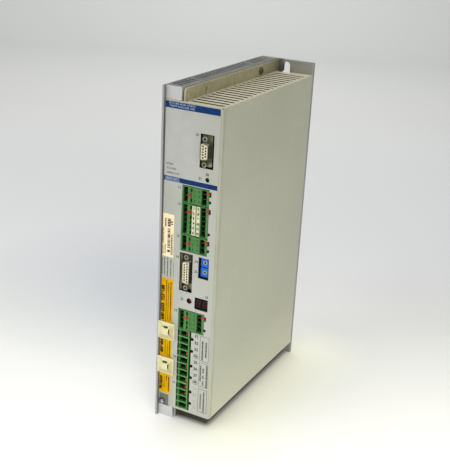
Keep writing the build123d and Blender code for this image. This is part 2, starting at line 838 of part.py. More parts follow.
def sub_d_shell(place, poles_long, long_side, front):
    """Drawn metal shell with its flange."""
    flange_face = front + shell_reach
    flange_length = (poles_long - 1) * contact_pitch + flange_extra
    flange = RectangleRounded(flange_width, flange_length, 1.5)
    outer = d_outline(poles_long, 0, long_side)
    inner = d_outline(poles_long, shell_thick, long_side)
    shell = along_y(flange + outer - inner, flange_face, flange_face + flange_thick)
    shell += along_y(outer - inner, front, flange_face)
    for side in (-1, 1):
        z = side * ((poles_long - 1) * contact_pitch + screw_extra) / 2
        shell -= rod_y(jack_thread_radius + hole_play, 0, z, flange_face, flange_face + flange_thick)
    return Pos(place[0], 0, place[1]) * shell


def sub_d_insulator(place, poles_long, long_side, front):
    """Insulating block that fills the shell and stands on the board."""
    fit = d_outline(poles_long, shell_thick, long_side)
    flange_back = front + shell_reach + flange_thick
    block = along_y(fit, front + rim_reach, flange_back)
    rear_length = (poles_long - 1) * contact_pitch + shell_extra
    rear = Rectangle(flange_width - 2 * rear_inset, rear_length)
    block += along_y(rear, flange_back, board_depth)
    hole = RegularPolygon(contact_hole_radius, contact_sides)
    for x, z in contact_places(poles_long, long_side):
        block -= along_y(Pos(x, z) * hole, front, front + shell_reach)
    return Pos(place[0], 0, place[1]) * block


def sub_d_contacts(place, poles_long, long_side, front):
    """Sleeves of the contacts, set back in their holes."""
    outline = RegularPolygon(contact_radius, contact_sides)
    sleeve = along_y(outline, front + contact_recess, front + shell_reach)
    places = contact_places(poles_long, long_side)
    return group(Pos(place[0] + x, 0, place[1] + z) * sleeve for x, z in places)


def jackscrews():
    """Hexagonal jackscrews with a threaded hole in each end, on both sub-D connectors."""
    screws = []
    for place, poles_long, front in ((sub_d_9_at, 5, sub_d_9_front), (sub_d_15_at, 8, sub_d_15_front)):
        face = front + shell_reach
        hexagon = RegularPolygon(jack_across_flats / 2, 6, major_radius=False)
        head = along_y(hexagon, face - jack_length, face)
        head -= rod_y(jack_thread_radius, 0, 0, face - jack_length, face - jack_length + jack_thread_depth)
        shank = rod_y(jack_thread_radius, 0, 0, face, face + flange_thick + jack_end)
        for side in (-1, 1):
            z = place[1] + side * ((poles_long - 1) * contact_pitch + screw_extra) / 2
            screws.append(Pos(place[0], 0, z) * (head + shank))
    return group(screws)


# Code switches, display, status light and reset button

def code_heights():
    """Heights of the middles of the two code switches."""
    return [code_at[1] + side * code_spacing / 2 for side in (-1, 1)]


def code_switch(z):
    """Square body with a round seat for the rotor."""
    x = code_at[0]
    body = along_y(Pos(x, z) * Rectangle(code_size, code_size), code_recess, board_depth)
    body = chamfer(body.edges().group_by(Axis.Y)[0], code_chamfer)
    return body - rod_y(rotor_radius + rotor_gap, x, z, code_recess, code_recess + rotor_depth + rotor_gap)


def code_rotor(z):
    """Rotor with a sunk middle, a screwdriver slot and a pointer notch at the rim."""
    x = code_at[0]
    face = code_recess - rotor_proud
    well_radius, well_depth = rotor_well
    slot_width, slot_length, slot_depth = rotor_slot
    floor = face + well_depth
    rotor = rod_y(rotor_radius, x, z, face, code_recess + rotor_depth)
    rotor -= rod_y(well_radius, x, z, face, floor)
    rotor -= span(x - slot_width / 2, x + slot_width / 2, floor, floor + slot_depth,
                  z - slot_length / 2, z + slot_length / 2)
    rim = (rotor_radius + well_radius) / 2
    return rotor - span(x - slot_width / 2, x + slot_width / 2, face, floor, z + well_radius * 0.8, z + rim)


def display_module():
    """Two-digit display with a bevelled face frame."""
    face = Pos(*display_at) * Rectangle(*display_size)
    body = along_y(face, display_recess, board_depth)
    return chamfer(body.edges().group_by(Axis.Y)[0], display_chamfer)


def segment_places():
    """Middle and direction of the seven bars of a digit; 1 stands for upright."""
    half_x, half_z = (digit_width - segment_width) / 2, (digit_height - segment_width) / 2
    level = [(0, side * half_z, 0) for side in (-1, 0, 1)]
    upright = [(x * half_x, z * half_z / 2, 1) for x in (-1, 1) for z in (-1, 1)]
    return level + upright


def display_segments():
    """Pointed bars of both digits, slightly slanted."""
    bars = []
    half = segment_width / 2
    for digit in (-0.5, 0.5):
        for x, z, upright in segment_places():
            full = digit_height / 2 if upright else digit_width
            end = (full - segment_width - segment_gap) / 2
            shoulder = end - half
            points = [(end, 0), (shoulder, half), (-shoulder, half),
                      (-end, 0), (-shoulder, -half), (shoulder, -half)]
            place = Pos(display_at[0] + digit * digit_spacing + x + z * digit_slant, display_at[1] + z)
            bar = place * Rot(0, 0, 90 * upright) * make_face(Polyline(*points, close=True))
            bars.append(along_y(bar, display_recess - segment_proud, display_recess))
    return group(bars)


def status_led():
    """Dome lens of the status light."""
    length = led_radius * led_slimness
    shoulder = length - led_radius
    rim = led_radius * 0.71
    points = [(0, 0), (led_radius, 0), (led_radius, shoulder), (rim, shoulder + rim), (0, length), (0, 0)]
    lens = revolve(Plane.XZ * make_face(Polyline(*points)), Axis.Z)
    return Pos(led_at[0], led_recess + length, led_at[1]) * Rot(90, 0, 0) * lens


def led_holder():
    """Spacer tube that carries the status light on the board."""
    front = led_recess + led_radius * led_slimness
    return rod_y(led_radius + led_collar, *led_at, front, board_depth)


def reset_switch():
    """Push switch body with a bore for the button."""
    body = along_y(Pos(*reset_at) * Rectangle(reset_body, reset_body), reset_body_recess, board_depth)
    body = chamfer(body.edges().group_by(Axis.Y)[0], reset_chamfer)
    end = reset_body_recess + reset_seat + reset_travel + reset_gap
    return body - rod_y(reset_radius + reset_gap, *reset_at, reset_body_recess, end)


def reset_button():
    """Round button with a bevelled tip, proud of its switch inside the panel's hole."""
    button = rod_y(reset_radius, *reset_at, reset_recess, reset_body_recess + reset_seat)
    return chamfer(button.edges().group_by(Axis.Y)[0], reset_chamfer)


# Ground screw, cable-tie mounts

def ground_washer():
    """Plain washer under the ground screw."""
    ring = Circle(ground_washer_radius) - Circle(ground_thread_radius + 2 * hole_play)
    return along_y(Pos(*ground_screw_at) * ring, ground_face - ground_washer_thick, ground_face)


def ground_screw():
    """Pan-head earthing screw into the heat sink's front web."""
    length = sink_web - 2 * hole_floor - ground_pocket + ground_washer_thick
    screw = dome_screw(ground_thread_radius - screw_play, ground_head_radius, ground_head_height, length)
    x, z = ground_screw_at
    return Pos(x, ground_face - ground_washer_thick, z) * Rot(90, 0, 0) * screw


def tie_mount():
    """Four-way cable-tie mount on the z axis: ridges from the corners carry a bridge over crossed slots."""
    size = tie_mount_size
    base = extrude(RectangleRounded(size, size, tie_corner), amount=tie_base)
    foot = size - 2 * tie_edge
    roof_foot = tie_top + 2 * tie_edge
    hood = loft([Rectangle(foot, foot), Pos(0, 0, tie_height) * Rectangle(tie_top, tie_top)])
    faces = loft([Rectangle(foot, foot), Pos(0, 0, tie_hollow) * Rectangle(roof_foot, roof_foot)])
    ridges = Box(tie_top, tie_top, 2 * tie_height)
    for turn in (45, -45):
        ridges += Rot(0, 0, turn) * Box(size * 1.5, tie_leg, 2 * tie_height)
    bridge = faces + (hood & ridges)
    roof_height = tie_height - tie_roof
    middle = (tie_hollow + roof_height) / 2
    for across, along in ((tie_slot_width, size), (size, tie_slot_width)):
        bridge -= Pos(0, 0, middle) * Box(across, along, roof_height - tie_hollow)
    return base + Pos(0, 0, tie_base) * bridge


def on_panel(solid, x, depth, z):
    """Piece drawn on the z axis, stood on the panel so that it faces the front."""
    return Pos(x, depth, z) * Rot(90, 0, 0) * solid


def tie_mounts():
    """Both cable-tie mounts."""
    x = tie_mount_left + tie_mount_size / 2
    return group(on_panel(tie_mount(), x, tie_mount_face, z) for z in tie_mount_heights)


def tie_pads():
    """Foam pads that hold the cable-tie mounts."""
    size = tie_mount_size - 2 * pad_inset
    x = tie_mount_left + tie_mount_size / 2
    pads = []
    for z in tie_mount_heights:
        face = Pos(x, z) * Rectangle(size, size)
        pads.append(along_y(face, tie_mount_face, -foil_thick))
    return group(pads)


# Inside the housing

def front_board():
    """Board behind the panel for connectors, switches and display."""
    low = fourway_bottom - opening_gap / 2
    return along_y(area(front_board_left, front_board_right, low, front_board_top), board_depth, board_back)


def terminal_board():
    """Board behind the panel for the power headers."""
    low = housing_rise + cover_thick + board_side_gap / 2
    high = fourway_bottom - opening_gap
    return along_y(area(front_board_left, front_board_right, low, high), board_depth, board_back)


def stud_places():
    """Studs on the panel's back that carry both boards."""
    right = front_board_right - stud_inset
    left = header_left + stud_radius + stud_edge
    high = front_board_top - stud_inset - stud_edge
    low = fourway_bottom + stud_inset + stud_edge
    middle = (power_bottom + power_top) / 2
    upper, lower = power_top - stud_inset - stud_edge, power_bottom + stud_inset + stud_edge
    beside = power_left + power_width + power_opening_gap[1] + power_notch_reach + stud_radius
    return [(right, high), (left, high), (right, low), (right, upper), (right, lower), (beside, middle)]


def panel_studs():
    """Round studs pressed into the panel."""
    return group(rod_y(stud_radius, x, z, panel_thick, board_depth) for x, z in stud_places())


def board_screws():
    """Hexagon screws that hold both boards on the studs."""
    head = extrude(RegularPolygon(screw_head_radius, 6), amount=screw_head_height)
    return group(Pos(x, board_back, z) * Rot(-90, 0, 0) * head for x, z in stud_places())


def power_board():
    """Board beside the chassis for power parts."""
    back = body_depth - board_back_gap
    outline = area(power_board_front, back, power_board_bottom, power_board_top)
    return along_x(outline, power_board_left, power_board_right)


def power_spacer_places():
    """Depth and height of the spacers under the power board."""
    depths = (power_board_front + spacer_inset, body_depth - board_back_gap - spacer_inset)
    middle = (power_board_bottom + power_board_top) / 2
    levels = (power_board_bottom + spacer_inset, middle, power_board_top - spacer_inset)
    return [(y, z) for y in depths for z in levels]


def power_spacers():
    """Hexagonal spacers between chassis and power board."""
    hexagon = RegularPolygon(spacer_radius, 6)
    places = power_spacer_places()
    return group(along_x(Pos(y, z) * hexagon, chassis_right, power_board_left) for y, z in places)


def control_board():
    """Board with the processor, along the side of the cover."""
    outline = area(control_board_front, control_board_back, control_board_bottom, control_board_top)
    return along_x(outline, control_board_left, control_board_right)


def control_spacers():
    """Long spacers between the power board and the control board."""
    hexagon = RegularPolygon(spacer_radius, 6)
    depths = (control_board_front + spacer_inset, control_board_back - spacer_inset)
    levels = (control_board_bottom + spacer_inset, control_board_top - spacer_inset)
    places = [(y, z) for y in depths for z in levels]
    return group(along_x(Pos(y, z) * hexagon, power_board_right, control_board_left) for y, z in places)


def board_link():
    """Plug strip between the front board and the control board."""
    middle = (control_board_bottom + control_board_top) / 2
    width_x, depth_y, tall = link_size
    depth = control_board_front + depth_y
    strip = span(control_board_left - width_x, control_board_left, board_back, depth,
                 middle - tall / 2, middle + tall / 2)
    return chamfer(strip.edges().filter_by(Axis.Z), chip_chamfer)


def control_chips():
    """Processor, memory and driver chips on the control board."""
    chips = []
    for step_y, step_z, across, tall in chip_places:
        y, z = control_board_front + step_y, control_board_bottom + step_z
        chip = span(control_board_left - chip_thick, control_board_left, y - across / 2, y + across / 2,
                    z - tall / 2, z + tall / 2)
        chips.append(chamfer(chip.faces().sort_by(Axis.X)[0].edges(), chip_chamfer))
    return group(chips)


def module_block(name):
    """Power semiconductor block that sits on the heat sink through the chassis window."""
    y0, y1, z0, z1 = module_windows()[name]
    foot = sink_width + module_foot
    block = along_x(area(y0, y1, z0, z1), sink_width, foot)
    top = area(y0 + module_foot, y1 - module_foot, z0 + module_end, z1 - module_end)
    block += along_x(top, foot, power_board_left - part_play)
    for z in (z0 + module_end / 2, z1 - module_end / 2):
        block -= rod_x(module_screw_radius, (y0 + y1) / 2, z, sink_width, foot)
    return block


def capacitor():
    """Electrolytic capacitor on the z axis: can with a crimped neck."""
    length = cover_inner - capacitor_gap - power_board_right
    radius = capacitor_radius
    neck = capacitor_neck
    points = [(0, 0), (radius, 0), (radius, neck - crimp), (radius - crimp, neck), (radius, neck + crimp),
              (radius, length - crimp), (radius - crimp, length), (0, length), (0, 0)]
    return revolve(Plane.XZ * make_face(Polyline(*points)), Axis.Z)


def dc_link_capacitors():
    """Bank of capacitors on the power board."""
    can = Rot(0, 90, 0) * capacitor()
    first = power_board_bottom + capacitor_first
    heights = [first + capacitor_pitch * index for index in range(capacitor_count)]
    return group(Pos(power_board_right, capacitor_depth, z) * can for z in heights)


def filter_choke():
    """Ring core of the mains filter, lying on the power board."""
    ring = Circle(choke_radius[1]) - Circle(choke_radius[0])
    place = Pos(capacitor_depth, choke_height)
    return along_x(place * ring, power_board_right, power_board_right + choke_thick)


def supply_transformer():
    """Transformer of the internal supply: core halves round a wound bobbin."""
    x = power_board_right
    across, deep, tall = transformer_size
    limb = transformer_limb
    z0, z1 = transformer_height - tall / 2, transformer_height + tall / 2
    y0, y1 = capacitor_depth - deep / 2, capacitor_depth + deep / 2
    core = span(x, x + across, y0, y1, z0, z1)
    return core - span(x + limb, x + across - limb, y0 + limb, y1 - limb, z0, z1)


def transformer_winding():
    """Bobbin and winding inside the transformer's core."""
    x = power_board_right + transformer_limb
    outline = Pos(capacitor_depth, transformer_height) * Rectangle(*winding_size)
    return along_x(outline, x, x + transformer_size[0] - 2 * transformer_limb)


def on_power_board(size, rise):
    """Block in the row between control board and capacitors."""
    across, deep, tall = size
    z = power_board_bottom + rise
    return span(power_board_right, power_board_right + across, relay_depth - deep / 2, relay_depth + deep / 2,
                z - tall / 2, z + tall / 2)


def inrush_relay():
    """Relay of the charging circuit."""
    return on_power_board(relay_size, relay_first)


def bleeder_resistor():
    """Cement resistor across the intermediate circuit."""
    body = on_power_board(resistor_size, resistor_first)
    return chamfer(body.edges().filter_by(Axis.Z), chip_chamfer)


def build_nodes():
    """Every sub-part by its name."""
    nodes = {
        "heat_sink": heat_sink(),
        "back_plate": back_plate(),
        "plate_screws": plate_screws(),
        "chassis": chassis(),
        "chassis_bushes": chassis_bushes(),
        "chassis_screws": chassis_screws(),
        "housing_cover": housing_cover(),
        "cover_screws": cover_screws(),
        "front_panel": front_panel(),
        "front_foil": front_foil(),
        "signal_pins": signal_pins(),
        "key_tabs": key_tabs(),
        "marker_strips": marker_strips(),
        "power_pins": power_pins(),
        "jackscrews": jackscrews(),
        "display_module": display_module(),
        "display_segments": display_segments(),
        "status_led": status_led(),
        "led_holder": led_holder(),
        "reset_switch": reset_switch(),
        "reset_button": reset_button(),
        "ground_washer": ground_washer(),
        "ground_screw": ground_screw(),
        "tie_mounts": tie_mounts(),
        "tie_pads": tie_pads(),
        "front_board": front_board(),
        "terminal_board": terminal_board(),
        "panel_studs": panel_studs(),
        "board_screws": board_screws(),
        "power_board": power_board(),
        "power_spacers": power_spacers(),
        "control_board": control_board(),
        "control_spacers": control_spacers(),
        "control_chips": control_chips(),
        "board_link": board_link(),
        "power_module": module_block("power_module"),
        "rectifier_module": module_block("rectifier_module"),
        "dc_link_capacitors": dc_link_capacitors(),
        "filter_choke": filter_choke(),
        "supply_transformer": supply_transformer(),
        "transformer_winding": transformer_winding(),
        "inrush_relay": inrush_relay(),
        "bleeder_resistor": bleeder_resistor(),
    }
    for name, poles, bottom in signal_headers():
        nodes[name] = signal_header(poles, bottom)
    for name, _, bottom in power_headers():
        nodes[name] = power_header(bottom)
    for name, place, poles_long, long_side, front in (
            ("sub_d_9", sub_d_9_at, 5, -1, sub_d_9_front), ("sub_d_15", sub_d_15_at, 8, 1, sub_d_15_front)):
        nodes[f"{name}_shell"] = sub_d_shell(place, poles_long, long_side, front)
        nodes[f"{name}_insulator"] = sub_d_insulator(place, poles_long, long_side, front)
        nodes[f"{name}_contacts"] = sub_d_contacts(place, poles_long, long_side, front)
    for name, z in zip(("lower", "upper"), code_heights()):
        nodes[f"code_switch_{name}"] = code_switch(z)
        nodes[f"code_rotor_{name}"] = code_rotor(z)
    return nodes


os.makedirs("parts", exist_ok=True)
for node, shape in build_nodes().items():
    export_step(to_origin * shape, f"parts/{node}.step")
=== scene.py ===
import bpy
import math
import numpy as np
from mathutils import Matrix, Vector


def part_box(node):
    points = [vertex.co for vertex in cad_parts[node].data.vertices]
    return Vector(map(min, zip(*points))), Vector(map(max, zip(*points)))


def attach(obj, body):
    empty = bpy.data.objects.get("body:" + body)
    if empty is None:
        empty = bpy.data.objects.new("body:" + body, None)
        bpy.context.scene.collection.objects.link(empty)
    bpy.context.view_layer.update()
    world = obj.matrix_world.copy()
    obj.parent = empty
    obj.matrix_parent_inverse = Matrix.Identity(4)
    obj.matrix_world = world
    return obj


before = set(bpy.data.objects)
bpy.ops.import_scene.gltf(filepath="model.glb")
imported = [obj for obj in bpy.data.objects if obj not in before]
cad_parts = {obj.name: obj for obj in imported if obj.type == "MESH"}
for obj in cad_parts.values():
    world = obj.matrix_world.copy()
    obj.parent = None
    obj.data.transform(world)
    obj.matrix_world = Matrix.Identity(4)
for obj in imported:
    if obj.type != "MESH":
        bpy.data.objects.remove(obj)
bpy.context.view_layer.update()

mm = 0.001
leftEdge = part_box("heat_sink")[0].x       # outer face of the heat sink, where "across" starts
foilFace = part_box("front_foil")[0].y      # printed face of the foil
inkRise = 0.02                            # mm that print stands ahead of its ground: real ink is thinner
noiseSpan = (0.3, 0.7)                    # the noise seldom goes beyond these values


def linear(hexCode):                      # sRGB hex code to linear colour
    raw = np.array([int(hexCode[i:i + 2], 16) for i in (1, 3, 5)]) / 255
    low = raw / 12.92
    high = ((raw + 0.055) / 1.055) ** 2.4
    return (*np.where(raw <= 0.04045, low, high), 1.0)


# Adds a node. Sockets go by position or by name and take a number, a "#" colour or another node's socket;
# with out it gives that output, otherwise the node
def addNode(tree, kind, sockets=(), out=None, **settings):
    node = tree.nodes.new(kind)
    for key, value in settings.items():
        setattr(node, key, value)
    for key, value in sockets.items() if isinstance(sockets, dict) else enumerate(sockets):
        if isinstance(value, bpy.types.NodeSocket):
            tree.links.new(value, node.inputs[key])
        else:
            node.inputs[key].default_value = linear(value) if isinstance(value, str) else value
    return node if out is None else node.outputs[out]


def newMaterial(name):
    made = bpy.data.materials.new(name)
    made.use_nodes = True
    made.node_tree.nodes.clear()
    return made, made.node_tree


# Cloudy pattern: noise on object coordinates divided by the width of its blotches, in mm along x, y and z
def mottle(tree, sizes, detail=3, rough=0.55):
    place = addNode(tree, "ShaderNodeTexCoord", out="Object")
    scale = tuple(1 / (size * mm) for size in np.broadcast_to(sizes, 3))
    spot = addNode(tree, "ShaderNodeMapping", {"Vector": place, "Scale": scale}, 0)
    return addNode(tree, "ShaderNodeTexNoise", {"Vector": spot, "Scale": 1.0, "Detail": detail,
                                                "Roughness": rough}, "Fac")


# Second colour over the first: the share is how far the pattern is from low to high, times the amount
def overlay(tree, pattern, span, amount, under, over):
    share = addNode(tree, "ShaderNodeMapRange", (pattern, *span, 0.0, amount), 0)
    return addNode(tree, "ShaderNodeMix", {0: share, 6: under, 7: over}, 2, data_type="RGBA")


def facing(tree, axis, low=0.5, high=0.8):  # 1 where the surface faces along a signed axis, such as "-Z"
    normal = addNode(tree, "ShaderNodeNewGeometry", out="Normal")
    part = addNode(tree, "ShaderNodeSeparateXYZ", (normal,), axis[-1])
    ends = (-low, -high) if axis[0] == "-" else (low, high)
    return addNode(tree, "ShaderNodeMapRange", (part, *ends, 0.0, 1.0), 0)


# 1 inside a box: product of a step at each end, soft mm to either side; limits: axis to low and high place
# in m, None for open
def within(tree, limits, soft):
    place = addNode(tree, "ShaderNodeTexCoord", out="Object")
    parts = addNode(tree, "ShaderNodeSeparateXYZ", (place,))
    inside = None
    for axis, ends in limits.items():
        for end, sign in zip(ends, (1, -1)):
            if end is None:
                continue
            reach = sign * soft * mm
            edge = addNode(tree, "ShaderNodeMapRange",
                           (parts.outputs[axis], end - reach, end + reach, 0.0, 1.0), 0)
            inside = edge if inside is None else addNode(
                tree, "ShaderNodeMath", (inside, edge), 0, operation="MULTIPLY")
    return inside


# Tints by place and by direction. zones: limits, colour and half the width in mm over which it fades in;
# turned: signed axis, where it starts, where it is full, colour
def tinted(tree, base, look):
    for limits, colour, soft in look.get("zones", ()):
        base = addNode(tree, "ShaderNodeMix", {0: within(tree, limits, soft), 6: base, 7: colour}, 2,
                       data_type="RGBA")
    for axis, low, high, colour in look.get("turned", ()):
        base = addNode(tree, "ShaderNodeMix", {0: facing(tree, axis, low, high), 6: base, 7: colour}, 2,
                       data_type="RGBA")
    return base


# Ends a material: roughness runs from its middle less the first ease to its middle plus the second, as the
# clouds rise, and the relief is a bump of depth mm
def closeMaterial(tree, base, look, clouds, relief):
    low, high = look["rough"] - look["ease"][0], look["rough"] + look["ease"][1]
    rough = addNode(tree, "ShaderNodeMapRange", (clouds, *noiseSpan, low, high), 0)
    normal = addNode(tree, "ShaderNodeBump", {"Height": relief, "Distance": look["depth"] * mm,
                                              "Strength": 1.0}, 0)
    body = addNode(tree, "ShaderNodeBsdfPrincipled", {
        "Base Color": base, "Roughness": rough, "Normal": normal, "Metallic": look["metal"],
        "Specular IOR Level": look["sheen"]}, 0)
    addNode(tree, "ShaderNodeOutputMaterial", (body,))


# Polyester powder coat on sheet steel: satin, with a fine orange peel, handled and slightly yellowed.
# In the settings of a finish a name in the plural is the noise values between which a colour comes in, ease
# is how far the roughness goes below and above its middle, and sizes and depths are in mm
coat = dict(rubs=(0.60, 0.78), grimes=(0.56, 0.74), flecks=(0.745, 0.79), fleckSize=(2.6, 2.6, 4.0),
            fleckAmount=0.75, dusts=(0.40, 0.66), dustAmount=0.6, peel=0.9, depth=0.012, ease=(0.05, 0.07),
            sheen=0.45, metal=0.0)


def powderCoat(name, look):
    look = coat | look
    made, tree = newMaterial(name)
    age = mottle(tree, look["patch"], detail=4)
    base = overlay(tree, age, noiseSpan, 1.0, look["dark"], look["light"])
    rub = mottle(tree, look["rub"], detail=5, rough=0.65)
    base = overlay(tree, rub, look["rubs"], look["rubAmount"], base, look["rubbed"])
    grime = mottle(tree, look["grime"], detail=4, rough=0.7)
    base = overlay(tree, grime, look["grimes"], look["grimeAmount"], base, look["grimy"])
    if "fleck" in look:                   # small knocks and specks of dirt, few and far between
        speck = mottle(tree, look["fleckSize"], detail=1)
        base = overlay(tree, speck, look["flecks"], look["fleckAmount"], base, look["fleck"])
    settled = mottle(tree, look["dustSize"], detail=4, rough=0.7)
    dust = overlay(tree, settled, look["dusts"], look["dustAmount"], *look["dust"])
    base = addNode(tree, "ShaderNodeMix", {0: facing(tree, "Z"), 6: base, 7: dust}, 2, data_type="RGBA")
    base = tinted(tree, base, look)
    closeMaterial(tree, base, look, age, mottle(tree, look["peel"], detail=2))
    return made


# Moulded plastic: even colour with a faint cloud from the melt, and a fine spark-eroded grain that is drawn
# coarser than it is so that it shows
plastic = dict(cloud=6.0, grain=0.35, depth=0.01, ease=(0.04, 0.06), sheen=0.5, metal=0.0)


def mouldedPlastic(name, look):
    look = plastic | look
    made, tree = newMaterial(name)
    cloud = mottle(tree, look["cloud"])
    base = overlay(tree, cloud, noiseSpan, 1.0, look["dark"], look["light"])
    if "pocket" in look:                  # painted shade darkens what lies deep: from and to in mm, colour
        first, last, pocketShadeColour = look["pocket"]
        place = addNode(tree, "ShaderNodeTexCoord", out="Object")
        depth = addNode(tree, "ShaderNodeSeparateXYZ", (place,), "Y")
        ends = (foilFace + first * mm, foilFace + last * mm)
        amount = addNode(tree, "ShaderNodeMapRange", (depth, *ends, 0.0, 1.0), 0)
        for axis in ("Z", "-Y") if "lit" in look else ():    # floors and ledges inside still catch some light
            kept = addNode(tree, "ShaderNodeMapRange",
                           (facing(tree, axis), 0.0, 1.0, 1.0, 1.0 - look["lit"]), 0)
            amount = addNode(tree, "ShaderNodeMath", (amount, kept), 0, operation="MULTIPLY")
        base = addNode(tree, "ShaderNodeMix", {0: amount, 6: base, 7: pocketShadeColour}, 2, data_type="RGBA")
    base = tinted(tree, base, look)
    closeMaterial(tree, base, look, cloud, mottle(tree, look["grain"], detail=2))
    return made


# Bare or plated metal: clouds of two tones, streaks along the way it was drawn or rolled, and a roughness
# that follows the clouds
metal = dict(clouds=(0.35, 0.68), streaks=(0.35, 0.65), ease=(0.06, 0.08), sheen=0.5)


def bareMetal(name, look):
    look = metal | look
    made, tree = newMaterial(name)
    streak = mottle(tree, look["streak"], rough=0.6)
    cloud = mottle(tree, look["cloud"], detail=4)
    base = overlay(tree, cloud, look["clouds"], 1.0, look["light"], look["dark"])
    base = overlay(tree, streak, look["streaks"], look["streakAmount"], base, look["streaked"])
    for axis, tones in look.get("facing", {}).items():       # tone by the way a side faces: the sawn end, and painted reflections and shade
        sideFinishAndLight = overlay(tree, cloud, noiseSpan, 1.0, *tones)
        base = addNode(tree, "ShaderNodeMix", {0: facing(tree, axis), 6: base, 7: sideFinishAndLight}, 2, data_type="RGBA")
    base = tinted(tree, base, look)
    closeMaterial(tree, base, look, cloud, streak)
    return made


# Printed polyester film, ink on it, and paper or vinyl labels: flat and even, with clouds of dust and a
# grain that is drawn coarser than it is so that it shows
film = dict(clouds=(0.32, 0.68), grain=0.25, depth=0.004, ease=(0.05, 0.05), sheen=0.4, metal=0.0)


def printedFilm(name, look):
    look = film | look
    made, tree = newMaterial(name)
    dust = mottle(tree, look["dust"], detail=5, rough=0.6)
    base = tinted(tree, overlay(tree, dust, look["clouds"], 1.0, look["dark"], look["light"]), look)
    closeMaterial(tree, base, look, dust, mottle(tree, look["grain"], detail=2))
    return made


def zone(across=(None, None), deep=(None, None), up=(None, None)):   # mm across, behind the foil, up
    ends = {"X": (across, leftEdge), "Y": (deep, foilFace), "Z": (up, 0.0)}
    return {axis: tuple(None if end is None else base + end * mm for end in pair)
            for axis, (pair, base) in ends.items()}


# Painted shade in the notches in the left wall of the power headers: across, from and to in mm above the
# lower end of a header
powerNotch = dict(across=(24.2, 26.4), low=1.07, high=7.07, pitch=7.62, poles=4, colour="#0a1c0a", soft=0.12,
                  nodes=("power_header_1", "power_header_2", "power_header_3"))
notchShadeZones = tuple(
    (zone(powerNotch["across"], up=(start + powerNotch["low"], start + powerNotch["high"])),
     powerNotch["colour"], powerNotch["soft"])
    for node in powerNotch["nodes"]
    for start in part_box(node)[0].z / mm + powerNotch["pitch"] * np.arange(powerNotch["poles"]))

# Painted shadow in the slots of the cable-tie mounts: heights of both mounts, and for each slot across, deep
# end, low and high
tieSlots = dict(at=(64.1, 105.0), front=-4.56, colour="#3a2c0e", soft=0.12,
                slots=(((7.3, 15.5), -3.36, -4.1, 4.1), ((9.0, 13.8), -3.2, 3.5, 5.5),
                       ((14.2, 17.4), -3.0, -2.8, 2.8)))
tieShadowZones = tuple(
    (zone(across, (tieSlots["front"], deep), (at + low, at + high)), tieSlots["colour"], tieSlots["soft"])
    for at in tieSlots["at"] for across, deep, low, high in tieSlots["slots"])

